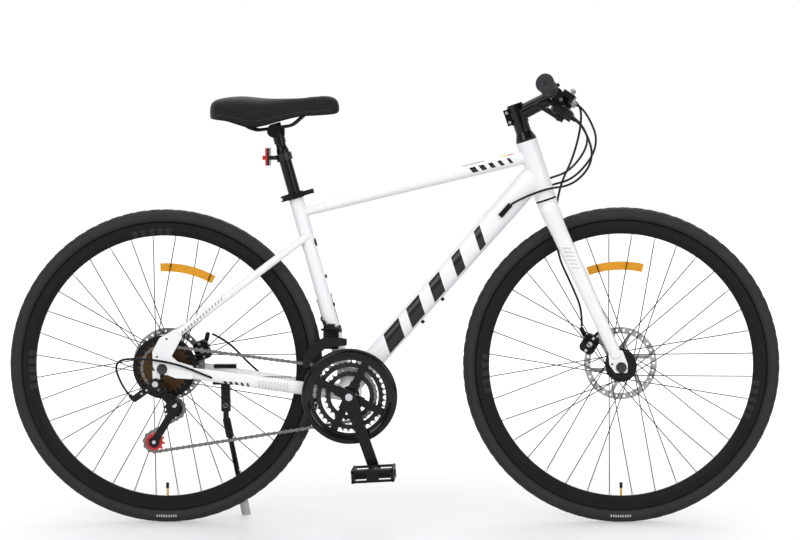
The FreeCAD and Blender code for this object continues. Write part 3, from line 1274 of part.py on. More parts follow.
knuckle_bits = [cylinder("rd_knuckle_disc", 14.0, 13.0, vec(CAGE.x, cage_near - 0.4, CAGE.z), RIGHT)]
for side in (-1.0, 1.0):
    at = RD_LOW + RD_AXIS * (side * 11.4)
    knuckle_bits.append(block("rd_low_ear", 11.0, 24.0, 4.0, at + LEFT * 6.5, RD_AXIS.cross(LEFT), RD_AXIS))
knuckle_bits.append(block("rd_low_plate", 13.0, 4.0, 27.0, vec(RD_LOW.x, cage_near - 11.4, RD_LOW.z),
                          RD_AXIS.cross(LEFT), RD_AXIS))
knuckle_bits.append(cylinder("rd_low_pin", dims.pin_radius, 26.0, RD_LOW - RD_AXIS * 13.0, RD_AXIS))
cage_hole = cylinder("rd_cage_hole", dims.axle_radius + dims.running_gap, 13.4,
                     vec(CAGE.x, cage_near, CAGE.z), RIGHT)
rd_knuckle = cut("rd_knuckle", fuse("rd_knuckle_plain", *knuckle_bits), cage_hole)

# Front derailleur
BAND = BRACKET + SEAT_UP * 138.0
FD_PIVOT = vec(-133.0, -31.0, 428.0)
band = ring("fd_band", dims.seat_tube_radius + 3.5, dims.seat_tube_radius, 14.0, BAND, SEAT_UP)
fd_body = block("fd_body", 16.0, 16.0, 20.0, vec(-133.0, -23.0, 430.0))
fd_bore = cylinder("fd_clear", dims.seat_tube_radius, 60.0, BAND - SEAT_UP * 20.0, SEAT_UP)
fd_pin = cylinder("fd_pin", dims.pin_radius, 44.0, FD_PIVOT - AHEAD * 22.0, AHEAD)
fd_stop = cylinder("fd_cable_stop", 4.0, 10.0, vec(-146.0, -23.0, 436.0), Vector(-0.4, 0, 1.0))
fd_bridge = block("fd_bridge", 20.0, 8.0, 8.0, vec(-140.0, -21.0, 433.0))
fd_mount = cut("fd_mount", fuse("fd_mount_plain", band, fd_body, fd_pin, fd_bridge, fd_stop), fd_bore)
fd_outline = [(-98.0, 394.0), (-98.0, 408.0), (-140.0, 414.0), (-170.0, 402.0), (-194.0, 372.0),
              (-194.0, 345.0),
              (-183.0, 345.0), (-172.0, 366.0), (-140.0, 391.0)]
fd_outer = side_plate("fd_outer", dims.chain_y - 7, 1.2, 3.0, fd_outline)
fd_inner = side_plate("fd_inner", dims.chain_y + 6, 1.2, 3.0, fd_outline)
fd_roof = block("fd_roof", 26.0, 14.0, 1.6, vec(-124.0, float(dims.chain_y), 408.6))
fd_bits = [fd_outer, fd_inner, fd_roof]
for way in (-1.0, 1.0):
    at = FD_PIVOT + AHEAD * (way * 14.0)
    fd_bits.append(cylinder("fd_eye", 5.0, 6.0, at - AHEAD * 3.0, AHEAD))
    fd_bits.append(block("fd_strut", 5.0, 4.0, 20.0, at + vec(0, -2.6, -11.0)))
fd_hole = cylinder("fd_hole", pin_bore, 60.0, FD_PIVOT - AHEAD * 30.0, AHEAD)
fd_cage = cut("fd_cage", fuse("fd_cage_plain", *fd_bits), fd_hole)

# Kickstand
STAND = vec(dims.stand_pivot_x, dims.stand_pivot_y, dims.stand_pivot_z)
stand_top = stay_point(float(dims.stand_pivot_x), float(dims.stand_pivot_y) - 3.0)
stand_low_plate = block("stand_low_plate", 56.0, 24.0, 26.0, stand_top + vec(0, 0, -15.0), stay_way)
stand_high_plate = block("stand_high_plate", 50.0, 22.0, 8.0, stand_top + vec(0, 0, 13.5), stay_way)
stand_post = block("stand_post", 20.0, 18.0, 50.0, STAND + vec(0, -1.0, 28.0))
stand_gap = block("stand_gap", 40.0, 10.4, 36.0, STAND + vec(0, -1.0, -1.0))
stand_cheek = block("stand_cheek", 20.0, 18.0, 30.0, STAND + vec(0, -1.0, 2.0))
stand_pin = cylinder("stand_pin", 4.0, 22.0, STAND + vec(0, -12.0, 0), LEFT)
stand_solid = fuse("stand_solid", stand_low_plate, stand_post, stand_cheek, stand_high_plate)
kickstand_mount = fuse("kickstand_mount", cut("stand_cut", stand_solid, stand_gap, left_skin), stand_pin)
FOOT = vec(dims.stand_foot_x, dims.stand_foot_y, 0)
knee = STAND + vec(1.0, 2.0, -34.0)
leg_line = (FOOT - knee).normalize()
stand_eye = cylinder("stand_eye", 10.0, 9.6, STAND + vec(0, -5.8, 0), LEFT)
stand_neck = block("stand_neck", 12.0, 9.6, 30.0, STAND + vec(0, -1.0, -17.0))
stand_knee = ball("stand_knee", 9.0, knee)
foot_top = FOOT - leg_line * 40.0
stand_thick = cylinder("stand_thick", 9.0, 38.0, knee, leg_line)
stand_leg = cylinder("stand_leg", 6.0, (foot_top - knee).Length + 10.0, knee, leg_line)
stand_foot = cylinder("stand_foot", 10.0, 60.0, foot_top, leg_line)
stand_ground = block("stand_ground", 90.0, 90.0, 60.0, FOOT + vec(0, 0, -30.0))
stand_hole = cylinder("stand_hole", 4.05, 40.0, STAND + vec(0, -20.0, 0), LEFT)
kickstand_leg = cut("kickstand_leg", fuse("stand_leg_plain", stand_eye, stand_neck, stand_knee,
                                          stand_thick, stand_leg, stand_foot),
                    stand_ground, stand_hole)


# Disc brakes
def caliper(label, wheel, rotor_y, angle, tab_to, tab_tools):
    """A two-piece caliper over the rotor's edge, with its tab, and a separate cable arm."""
    out = around(Vector(0, 0, 0), 1.0, angle)
    middle_y = float(rotor_y) + float(dims.rotor_thickness) / 2
    centre = wheel + out * 80.0 + vec(0, middle_y, 0)
    body = block(label + "_body", 36.0, 25.0, 46.0, centre + LEFT * 1.5, out, LEFT.cross(out))
    slot = block(label + "_slot", 60.0, 4.4, 60.0, centre - out * 18.0, out, LEFT.cross(out))
    drum = cylinder(label + "_drum", 14.0, 5.0, centre + LEFT * 14.0 + out * 2.0, LEFT)
    pin_at = centre + LEFT * 19.0 + out * 2.0
    pin = cylinder(label + "_pin", 4.0, 7.0, pin_at, LEFT)
    tab_from = centre + LEFT * 9.0
    run = tab_to - tab_from
    tab = block(label + "_tab", run.Length, 8.0, 18.0, (tab_from + tab_to) * 0.5, run, run.cross(LEFT))
    cleaned = cut(label + "_cut", fuse(label + "_plain", body, tab), slot, *tab_tools)
    return fuse(label, cleaned, drum, pin), pin_at


def brake_arm(label, pin_at, run, length):
    eye = cylinder(label + "_eye", 9.0, 5.0, pin_at + LEFT * 0.4, LEFT)
    bar = block(label + "_bar", length, 5.0, 10.0, pin_at + run * (length / 2) + LEFT * 2.9, run,
                run.cross(LEFT))
    clamp = cylinder(label + "_clamp", 5.0, 5.0, pin_at + run * length + LEFT * 0.4, LEFT)
    hole = cylinder(label + "_hole", 4.05, 20.0, pin_at - LEFT * 2.0, LEFT)
    return cut(label, fuse(label + "_plain", eye, bar, clamp), hole)


rear_caliper, rear_arm_pin = caliper("rear_caliper", REAR, dims.rear_rotor_y, 22.0,
                                               vec(-446.0, 63.4, 344.0), [left_drop, left_skin])
rear_brake_arm = brake_arm("rear_brake_arm", rear_arm_pin, Vector(0.25, 0, 0.97).normalize(), 34.0)
front_tab = FRONT - leg_run * 78.0 + vec(-2.0, 50.0, 0)
front_caliper, front_arm_pin = caliper("front_caliper", FRONT, dims.front_rotor_y, 148.0, front_tab,
                                       [left_leg_skin])
front_brake_arm = brake_arm("front_brake_arm", front_arm_pin, Vector(-0.45, 0, 0.89).normalize(), 34.0)

# Seat post and saddle
POST_LOW = SEAT_TOP - SEAT_UP * 110.0
POST_NECK = SEAT_TOP + SEAT_UP * 96.0
post_bar = cylinder("post_bar", dims.post_radius, 206.0, POST_LOW, SEAT_UP)
post_taper = cone("post_taper", dims.post_radius, 11.0, 10.0, POST_NECK, SEAT_UP)
post_top = cylinder("post_top", 11.0, 38.0, POST_NECK + SEAT_UP * 10.0, SEAT_UP)
TILT = vec(-255.0, 0, 863.0)
head_ring = cylinder("head_ring", 13.0, 30.0, POST_NECK + SEAT_UP * 17.0, SEAT_UP)
head_boss = cylinder("head_boss", 12.5, 28.0, TILT + RIGHT * 14.0, LEFT)
head_web = block("head_web", 26.0, 19.0, 20.0, TILT + vec(9.0, 0, -1.0), AHEAD, UP)
tilt_hole = cylinder("tilt_hole", 4.05, 60.0, TILT + RIGHT * 30.0, LEFT)
post_bore = cylinder("post_bore", dims.post_radius - 2.4, 200.0, POST_LOW, SEAT_UP)
seat_post = cut("seat_post", fuse("post_plain", post_bar, post_taper, post_top, head_ring, head_boss,
                                  head_web), tilt_hole, post_bore)

rail_points = [vec(-334.0, -34.0, 893.0), vec(-312.0, -27.0, 871.0), vec(-292.0, -22.0, 864.0),
               vec(-216.0, -22.0, 874.0),
               vec(-186.0, -13.0, 900.0), vec(-172.0, -11.0, 909.0)]
rail = rod("saddle_rail", rail_points, 30.0, dims.rail_radius)
tilt_bolt = cylinder("tilt_bolt", 4.0, 62.0, TILT + RIGHT * 31.0, LEFT)
disc_near = cylinder("tilt_disc", 15.0, 13.0, TILT + RIGHT * 14.4, RIGHT)
disc_far = cylinder("tilt_disc_far", 15.0, 13.0, TILT + LEFT * 14.4, LEFT)
saddle_frame = fuse("saddle_frame", rail, mirrored("saddle_rail_far", rail), tilt_bolt, disc_near, disc_far)


def saddle_sections():
    """Share of the length from the tail, half width, top and bottom of the cushion."""
    wide = float(dims.saddle_width) / 2
    nose = float(dims.saddle_nose_width) / 2
    top = float(dims.saddle_top_z)
    return ((0.0, 0.42 * wide, top - 20.0, top - 40.0), (0.03, 0.66 * wide, top - 9.0, top - 46.0),
            (0.10, 0.90 * wide, top - 2.0, top - 48.0), (0.20, wide, top, top - 56.0),
            (0.30, 0.94 * wide, top - 1.0, top - 66.0), (0.42, 0.70 * wide, top - 3.0, top - 60.0),
            (0.56, 0.47 * wide, top - 4.0, top - 48.0), (0.72, 1.18 * nose, top - 3.0, top - 43.0),
            (0.86, nose, top + 0.5, top - 42.0), (0.95, 0.86 * nose, top - 3.0, top - 38.0),
            (1.0, 0.50 * nose, top - 15.0, top - 33.0))


def saddle_wire(along, half, top, low):
    """A closed section: crowned top, drawn-in sides, hollow underside."""
    tall = top - low
    x = float(dims.saddle_rear_x) + along * float(dims.saddle_length)
    side = [(0.0, top), (0.45 * half, top - 0.03 * tall), (0.80 * half, top - 0.14 * tall),
            (0.98 * half, top - 0.42 * tall),
            (0.97 * half, top - 0.74 * tall), (0.86 * half, low), (0.72 * half, low + 0.05 * tall),
            (0.45 * half, low + 0.30 * tall), (0.0, low + 0.36 * tall)]
    points = [Vector(x, y, z) for y, z in side]
    points += [Vector(x, -y, z) for y, z in reversed(side[1:-1])]
    curve = Part.BSplineCurve()
    curve.interpolate(Points=points, PeriodicFlag=True)
    return Part.Wire([curve.toShape()])


saddle_pad_plain = doc.addObject("Part::Feature", "saddle_pad_plain")
saddle_pad_plain.Shape = Part.makeLoft([saddle_wire(*row) for row in saddle_sections()], True, False)
saddle_pad = cut("saddle_pad", saddle_pad_plain, saddle_frame)

REFLECT = SEAT_TOP + SEAT_UP * 74.0
collar_ring = ring("reflector_collar", dims.post_radius + 4, dims.post_radius, 16.0, REFLECT, SEAT_UP)
reflector_arm = block("reflector_arm", 34.0, 10.0, 9.0, REFLECT + SEAT_UP * 6.0 + vec(-31.0, 0, 0.0),
                      Vector(1, 0, 0.15))
reflector_case = block("reflector_case", 9.0, 44.0, 38.0, vec(-270.0, 0, 806.0))
reflector_hole = cylinder("reflector_hole", dims.post_radius, 60.0, REFLECT - SEAT_UP * 20.0, SEAT_UP)
tail_reflector = cut("tail_reflector", fuse("reflector_plain", collar_ring, reflector_arm, reflector_case),
                     reflector_hole)

# Cables
cable = dims.cable_radius
pod_exit = at_bar(166.0, 76.0, -24.0)
brake_exit = at_bar(153.0, 50.0, 6.0) + (bar_run * -0.6 + reach_way).normalize() * 16.0


def far_side(point):
    return vec(point.x, -point.y, point.z)


down_run = Vector(down_way).normalize()
down_up = Vector(down_tall).normalize()


def down_side(along, side, lift):
    """A point beside the down tube's axis, measured back from the head."""
    return down_high - down_run * along + LEFT * side + down_up * lift


shift_front = rod("rear_shift_front", [
    pod_exit, pod_exit + reach_way * 22.0, vec(444.0, -100.0, 800.0), vec(400.0, -50.0, 742.0),
    vec(335.0, -33.0, 734.0),
    down_side(84.0, -31.0, 2.0), down_side(100.0, -24.5, 1.0)], 60.0, cable)
brake_front = rod("rear_brake_front", [
    brake_exit, brake_exit + (bar_run * -0.6 + reach_way).normalize() * 24.0, vec(456.0, -30.0, 828.0),
    vec(402.0, 40.0, 752.0),
    vec(340.0, 33.0, 738.0), down_side(84.0, 31.0, 4.0), down_side(100.0, 24.5, 3.0)], 60.0, cable)
gear_front = rod("front_shift_front", [
    far_side(pod_exit), far_side(pod_exit + reach_way * 18.0), vec(436.0, 100.0, 830.0),
    vec(392.0, 56.0, 768.0),
    vec(336.0, 34.0, 752.0), down_side(96.0, 32.0, -8.0), down_side(112.0, 24.5, -9.0)], 60.0, cable)
shift_rear = rod("rear_shift_rear", [
    stay_point(-392.0, -66.0) + vec(0, 0, -4.0), stay_point(-420.0, -80.0) + vec(0, 0, 6.0),
    vec(-470.0, -89.5, 360.0),
    vec(-545.0, -89.0, 372.0), vec(-606.0, -84.0, 366.0), BARREL + Vector(barrel_way).normalize() * 38.0,
    BARREL + Vector(barrel_way).normalize() * 12.0], 32.0, cable)
rear_anchor = rear_arm_pin + Vector(0.25, 0, 0.97).normalize() * 34.0
brake_rear = rod("rear_brake_rear", [
    stay_point(-300.0, 50.0) + vec(0, 0, 12.0), stay_point(-322.0, 56.0) + vec(0, 0, 26.0),
    vec(-372.0, 70.0, 396.0),
    rear_anchor + vec(10.0, 3.0, 0.5)], 60.0, cable)
gear_rear = rod("front_shift_rear", [
    BRACKET + SEAT_UP * 182.0 + SEAT_BACK * 14.5,
    BRACKET + SEAT_UP * 174.0 + SEAT_BACK * 22.0 + RIGHT * 8.0,
    vec(-150.0, -23.0, 446.0)], 12.0, cable)
frame_cables = group("frame_cables", shift_front, brake_front, gear_front,
                     cut("shift_loop", shift_rear, chain_skin),
                     cut("brake_run", brake_rear, left_skin), cut("gear_run", gear_rear, seat_out, fd_stop))
front_anchor = front_arm_pin + Vector(-0.45, 0, 0.89).normalize() * 34.0
leg_back = leg_fore if leg_fore.x < 0 else leg_fore * -1.0
front_brake_cable = rod("front_brake_cable", [
    far_side(brake_exit), far_side(brake_exit + (bar_run * -0.6 + reach_way).normalize() * 20.0),
    vec(404.0, 84.0, 810.0),
    vec(360.0, 74.0, 720.0), CROWN + leg_run * 90.0 + LEFT * 56.0 + leg_back * 27.0,
    CROWN + leg_run * 180.0 + LEFT * 58.0 + leg_back * 26.0, front_anchor + vec(2.0, 4.0, 40.0),
    front_anchor + vec(0.0, 3.0, 5.5)], 70.0, cable)

# Bearing cups, bracket cups, bolts and cable ports
fit = dims.steerer_radius + dims.running_gap
cup_bits = []
for name, face, way in (("upper", HEAD_TOP, HEAD_DOWN), ("lower", HEAD_LOW, HEAD_DOWN * -1.0)):
    inside = ring("cup_%s_seat" % name, dims.head_bore, fit, 11.0, face, way)
    lip = ring("cup_%s_lip" % name, dims.head_radius, fit, dims.cup_flange, face, way * -1.0)
    cup_bits.append(fuse("cup_" + name, inside, lip))
spindle_fit = dims.spindle_radius + dims.running_gap
for name, way in (("right", RIGHT), ("left", LEFT)):
    face = BRACKET + way * shell_half
    inside = ring("bracket_%s_seat" % name, dims.shell_bore, spindle_fit, 14.0, face, way * -1.0)
    lip = ring("bracket_%s_lip" % name, dims.shell_radius + 1, spindle_fit, 2.5, face, way)
    cup_bits.append(fuse("bracket_cup_" + name, inside, lip))
for number, along in enumerate((345.0, 411.0)):
    at = down_side(along, 0.0, 0.0)
    height = float(dims.down_tube_low_height) / 2 + 4.0
    bolt = cylinder("bottle_bolt_%d" % number, 4.2, height + 4.0, at, down_up)
    cup_bits.append(cut("down_bolt_%d" % number, bolt, down_skin))
for number, along in enumerate((200.0, 264.0)):
    at = BRACKET + SEAT_UP * along
    bolt = cylinder("seat_bolt_plain_%d" % number, 4.2, dims.seat_tube_radius + 3.5, at, SEAT_BACK * -1.0)
    cup_bits.append(cut("seat_bolt_%d" % number, bolt, seat_out))
plug = cylinder("seat_plug_plain", 9.0, dims.seat_tube_radius + 1.6, BRACKET + SEAT_UP * 342.0,
                SEAT_BACK * -1.0)
cup_bits.append(cut("seat_plug", plug, seat_out))
for side in (-1.0, 1.0):
    name = "right" if side < 0 else "left"
    boot = block("boot_plain_" + name, 34.0, 12.0, 11.0,
                 down_side(107.0, side * 21.0, 2.0 if side < 0 else -2.0), down_run, down_up)
    cables = [shift_front] if side < 0 else [brake_front, gear_front]
    cup_bits.append(cut("boot_" + name, boot, down_skin, *cables))
frame_fittings = group("frame_fittings", *cup_bits)
seat_clamp_parts = cut("quick_release", fuse("quick_release_plain", cam, qr_blade), cam_hole, cam_slot)

NODES = {
    "head_tube": head_tube, "top_tube": top_tube, "down_tube": down_tube, "seat_tube": seat_tube,
    "chainstay_right": chainstay_right, "chainstay_left": chainstay_left, "seatstays": seatstays,
    "frame_fittings": frame_fittings, "seat_clamp": seat_clamp, "frame_cables": frame_cables,
    "rear_axle": rear_axle,
    "front_derailleur_mount": fd_mount, "rear_derailleur_mount": rd_mount,
    "kickstand_mount": kickstand_mount,
    "rear_caliper": rear_caliper, "quick_release_lever": seat_clamp_parts, "front_derailleur_cage": fd_cage,
    "derailleur_link": rd_link, "derailleur_knuckle": rd_knuckle, "derailleur_cage": rd_cage,
    "jockey_upper": jockey_upper,
    "jockey_lower": jockey_lower, "kickstand_leg": kickstand_leg, "rear_brake_arm": rear_brake_arm,
    "rear_tyre": rear_tyre, "rear_rim": rear_rim, "rear_spokes": rear_spokes, "rear_hub": rear_hub,
    "rear_rotor": rear_rotor, "rear_wheel_trim": rear_trim, "freewheel": freewheel, "cranks": cranks,
    "chainrings": chainrings, "chain_guard": chain_guard, "pedal_right": pedal_right,
    "pedal_left": pedal_left,
    "chain": chain, "fork": fork, "stem": stem, "handlebar": handlebar, "grips": grips,
    "lever_mounts": lever_mounts,
    "brake_lever_right": brake_lever_right, "brake_lever_left": brake_lever_left,
    "shift_lever_right": shift_lever_right,
    "shift_lever_left": shift_lever_left, "front_caliper": front_caliper,
    "front_brake_arm": front_brake_arm,
    "front_brake_cable": front_brake_cable, "front_axle": front_axle, "front_tyre": front_tyre,
    "front_rim": front_rim,
    "front_spokes": front_spokes, "front_hub": front_hub, "front_rotor": front_rotor,
    "front_wheel_trim": front_trim,
    "seat_post": seat_post, "saddle_frame": saddle_frame, "saddle_pad": saddle_pad,
    "tail_reflector": tail_reflector,
}

# Check and export
doc.recompute()
faults = [item.Name for item in doc.Objects if "Invalid" in item.State or "Error" in item.State]
if faults:
    raise RuntimeError("objects that did not build: " + ", ".join(faults))
os.makedirs("parts", exist_ok=True)
for node, item in NODES.items():
    shape = item.Shape
    item.Label = node
    if shape.isNull() or not shape.isValid() or shape.Volume < 1.0:
        raise RuntimeError("bad shape: " + node)
    shape.exportStep("parts/%s.step" % node)
    box = shape.BoundBox
    print("%-24s solids %3d volume %10.0f  x %7.1f %7.1f  y %7.1f %7.1f  z %7.1f %7.1f" % (
        node, len(shape.Solids), shape.Volume, box.XMin, box.XMax, box.YMin, box.YMax, box.ZMin, box.ZMax))
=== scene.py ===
# %% [markdown]
# # A hybrid bike, dressed for its picture
#
# The solids of the bike already exist as named nodes on moving bodies. This lesson gives them
# materials made of shader nodes, replaces the soft and ribbed pieces with finer meshes, lays the
# control cables as smooth curves, and sets up the studio and the camera.
#
# Lengths are in metres. The bike faces +X, its right side is -Y, and the floor is at Z = 0.

import bpy
import bmesh
import math
from mathutils import Matrix, Vector


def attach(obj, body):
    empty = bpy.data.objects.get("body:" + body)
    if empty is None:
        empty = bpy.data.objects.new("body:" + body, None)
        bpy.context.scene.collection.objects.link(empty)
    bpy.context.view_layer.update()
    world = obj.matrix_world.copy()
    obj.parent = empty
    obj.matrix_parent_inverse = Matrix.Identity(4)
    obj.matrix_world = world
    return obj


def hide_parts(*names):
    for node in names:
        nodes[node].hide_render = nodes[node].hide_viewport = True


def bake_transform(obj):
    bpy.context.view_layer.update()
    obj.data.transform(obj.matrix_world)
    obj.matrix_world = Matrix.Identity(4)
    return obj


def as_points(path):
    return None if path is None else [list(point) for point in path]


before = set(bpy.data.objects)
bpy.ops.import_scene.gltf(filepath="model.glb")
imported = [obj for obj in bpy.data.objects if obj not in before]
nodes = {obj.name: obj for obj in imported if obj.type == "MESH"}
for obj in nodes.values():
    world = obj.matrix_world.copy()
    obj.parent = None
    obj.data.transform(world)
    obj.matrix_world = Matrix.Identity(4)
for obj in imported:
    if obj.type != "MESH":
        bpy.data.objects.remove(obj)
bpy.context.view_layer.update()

# %% [markdown]
# ## Key places
#
# A few points of the bike are used by several pieces below. They could be measured on the meshes each
# time, but written once they keep the pieces in line with the solids.

# %% Key places
REAR_AXLE = Vector((-0.5, 0.0, 0.346))
FRONT_AXLE = Vector((0.5, 0.0, 0.346))
BRACKET = Vector((-0.092, 0.0, 0.284))
BAR_END = Vector((0.33687, -0.305, 0.96377))
BAR_OUT = Vector((-0.0815, -0.9899, 0.1161)).normalized()
DOWN_LOW = Vector((-0.104, 0.0, 0.290))
DOWN_HIGH = Vector((0.31848, 0.0, 0.76823))
TOP_REAR = Vector((-0.206, 0.0, 0.681))
TOP_FRONT = Vector((0.30604, 0.0, 0.80604))
FORK_CROWN = Vector((0.34484, 0.0, 0.68805))
STEM_MIDDLE = Vector((0.27687, 0.0, 0.89477))
HEAD_DOWN = Vector((0.31233, 0.0, -0.94997))
POST_NECK = Vector((-0.23835, 0.0, 0.81895))
SEAT_UP = Vector((-0.26387, 0.0, 0.96456))
LEFT = Vector((0.0, 1.0, 0.0))
RIGHT = Vector((0.0, -1.0, 0.0))
CABLE_DIAMETER = 0.005

# %% [markdown]
# ## The camera
#
# The camera stands about seven metres from the drive side, a little behind the middle of the bike
# and at saddle height, and looks slightly down.

# %% Camera
CAMERA_AT = Vector((0.34597, -6.7263, 1.0018))
YAW = 0.0488
PITCH = 0.0661
ROLL = -0.0068
LENS = 138.54


def camera_axes():
    """The camera's right, up and backward directions."""
    level = Vector((-math.sin(YAW), math.cos(YAW), 0.0))
    side = Vector((math.cos(YAW), math.sin(YAW), 0.0))
    top = Vector((0.0, 0.0, 1.0))
    forward = level * math.cos(PITCH) - top * math.sin(PITCH)
    above = top * math.cos(PITCH) + level * math.sin(PITCH)
    right = side * math.cos(ROLL) + above * math.sin(ROLL)
    up = above * math.cos(ROLL) - side * math.sin(ROLL)
    return right, up, -forward


camera_data = bpy.data.cameras.new("camera")
camera_data.sensor_width = 36.0
camera_data.lens = LENS
camera_data.clip_end = 60.0
camera = bpy.data.objects.new("camera", camera_data)
bpy.context.scene.collection.objects.link(camera)
turn = Matrix(camera_axes()).transposed().to_4x4()
camera.matrix_world = Matrix.Translation(CAMERA_AT) @ turn
bpy.context.scene.camera = camera
print("camera lens", camera_data.lens)

# %% [markdown]
# ## Helpers for meshes
#
# Each piece is a mesh in the frame's own coordinates, so its object stays at the origin.


# %% Mesh helpers
def piece_from(name, mesh, material, body):
    """Make an object of a mesh, give it a material, and let it move with a body."""
    obj = bpy.data.objects.new(name, mesh)
    bpy.context.scene.collection.objects.link(obj)
    mesh.materials.append(material)
    if body:
        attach(obj, body)
    return obj


def finish_mesh(name, bm, smooth=True):
    """Turn a bmesh into a mesh with outward faces."""
    bmesh.ops.recalc_face_normals(bm, faces=bm.faces)
    mesh = bpy.data.meshes.new(name)
    for face in bm.faces:
        face.smooth = smooth
    bm.to_mesh(mesh)
    bm.free()
    return mesh


def sharpen(mesh, degrees):
    """Mark the edges sharper than an angle, so that they shade as edges."""
    mesh.set_sharp_from_angle(angle=math.radians(degrees))


def loft_rings(bm, rings):
    """Bridge equal rings of points with quads and close both ends."""
    rows = [[bm.verts.new(point) for point in ring] for ring in rings]
    count = len(rows[0])
    for near, far in zip(rows, rows[1:]):
        for i in range(count):
            j = (i + 1) % count
            bm.faces.new((near[i], near[j], far[j], far[i]))
    bm.faces.new(rows[0])
    bm.faces.new(rows[-1])


def side_axes(direction):
    """Two directions square to a direction and to each other."""
    direction = direction.normalized()
    helper = Vector((0.0, 0.0, 1.0))
    if abs(direction.z) > 0.9:
        helper = Vector((1.0, 0.0, 0.0))
    first = direction.cross(helper).normalized()
    return first, direction.cross(first).normalized()


def join_into(bm, part):
    """Move a finished shape into a larger bmesh."""
    mesh = bpy.data.meshes.new("part")
    part.to_mesh(mesh)
    part.free()
    bm.from_mesh(mesh)
    bpy.data.meshes.remove(mesh)


def lathe(bm, start, direction, profile, steps=48):
    """Spin a profile of (distance along, radius) pairs about a line."""
    part = bmesh.new()
    way = direction.normalized()
    side = side_axes(way)[0]
    line = [part.verts.new(start + way * along + side * radius) for along, radius in profile]
    edges = [part.edges.new(pair) for pair in zip(line, line[1:])]
    bmesh.ops.spin(part, geom=line + edges, cent=start, axis=way, angle=2.0 * math.pi, steps=steps,
                   use_merge=True)
    bmesh.ops.remove_doubles(part, verts=part.verts, dist=1e-6)
    join_into(bm, part)


def tube_mesh(name, lines, radius, kind="POLY"):
    """Round tubes along lines of points, and the points of the middle line of the first."""
    data = bpy.data.curves.new(name + "_line", "CURVE")
    data.dimensions = "3D"
    data.resolution_u = 16
    for points in lines:
        spline = data.splines.new(kind)
        spline.points.add(len(points) - 1)
        for spot, point in zip(spline.points, points):
            spot.co = (*point, 1.0)
        if kind == "NURBS":
            spline.order_u = 3
            spline.use_endpoint_u = True
    line = bpy.data.objects.new(name + "_line", data)
    bpy.context.scene.collection.objects.link(line)
    bpy.context.view_layer.update()
    middle = bpy.data.meshes.new_from_object(line)
    path = [vertex.co.copy() for vertex in middle.vertices]
    bpy.data.meshes.remove(middle)
    data.bevel_depth = radius
    data.bevel_resolution = 2
    data.use_fill_caps = True
    bpy.context.view_layer.update()
    mesh = bpy.data.meshes.new_from_object(line)
    bpy.data.objects.remove(line)
    bm = bmesh.new()
    bm.from_mesh(mesh)
    bpy.data.meshes.remove(mesh)
    bmesh.ops.remove_doubles(bm, verts=bm.verts, dist=1e-6)
    return finish_mesh(name, bm), path


# %% [markdown]
# ## Shader node groups
#
# Two small groups are shared by nearly all the materials. *Mottle* varies a colour between two
# tones with soft noise, and *Grain* raises a fine bump. Both read the object's own coordinates, so
# the pattern stays on the piece when it moves.


# %% Node groups
def new_group(name, inputs, outputs):
    """An empty shader group with named sockets."""
    group = bpy.data.node_groups.new(name, "ShaderNodeTree")
    for label, kind in inputs:
        group.interface.new_socket(label, in_out="INPUT", socket_type=kind)
    for label, kind in outputs:
        group.interface.new_socket(label, in_out="OUTPUT", socket_type=kind)
    source = group.nodes.new("NodeGroupInput")
    target = group.nodes.new("NodeGroupOutput")
    return group, source, target


FLOAT = "NodeSocketFloat"
COLOUR = "NodeSocketColor"
VECTOR = "NodeSocketVector"

mottle, source, target = new_group(
    "Mottle",
    [("Dark", COLOUR), ("Light", COLOUR), ("Scale", FLOAT)],
    [("Colour", COLOUR), ("Tone", FLOAT)])
place = mottle.nodes.new("ShaderNodeTexCoord")
noise = mottle.nodes.new("ShaderNodeTexNoise")
noise.inputs["Detail"].default_value = 5.0
noise.inputs["Roughness"].default_value = 0.6
blend = mottle.nodes.new("ShaderNodeMix")
blend.data_type = "RGBA"
mottle.links.new(place.outputs["Object"], noise.inputs["Vector"])
mottle.links.new(source.outputs["Scale"], noise.inputs["Scale"])
mottle.links.new(noise.outputs["Fac"], blend.inputs["Factor"])
mottle.links.new(source.outputs["Dark"], blend.inputs["A"])
mottle.links.new(source.outputs["Light"], blend.inputs["B"])
mottle.links.new(blend.outputs["Result"], target.inputs["Colour"])
mottle.links.new(noise.outputs["Fac"], target.inputs["Tone"])

grain, source, target = new_group(
    "Grain",
    [("Scale", FLOAT), ("Height", FLOAT)],
    [("Normal", VECTOR)])
place = grain.nodes.new("ShaderNodeTexCoord")
noise = grain.nodes.new("ShaderNodeTexNoise")
noise.inputs["Detail"].default_value = 3.0
bump = grain.nodes.new("ShaderNodeBump")
bump.inputs["Distance"].default_value = 0.001
grain.links.new(place.outputs["Object"], noise.inputs["Vector"])
grain.links.new(source.outputs["Scale"], noise.inputs["Scale"])
grain.links.new(source.outputs["Height"], bump.inputs["Strength"])
grain.links.new(noise.outputs["Fac"], bump.inputs["Height"])
grain.links.new(bump.outputs["Normal"], target.inputs["Normal"])
print("groups:", [group.name for group in (mottle, grain)])

# %% [markdown]
# ## Making a material
#
# `surface` builds the common kind: a mottled colour, a roughness that follows the same noise, and a
# fine grain. Anything that is constant over the surface is set on the shader's own socket.


# %% Material helper
def colour4(rgb):
    return (rgb[0], rgb[1], rgb[2], 1.0)


def map_range(tree, value, low, high, start=0.0, end=1.0):
    """A value that runs from start to end, mapped to low to high."""
    node = tree.nodes.new("ShaderNodeMapRange")
    for label, number in (("From Min", start), ("From Max", end), ("To Min", low), ("To Max", high)):
        node.inputs[label].default_value = number
    tree.links.new(value, node.inputs["Value"])
    return node.outputs["Result"]


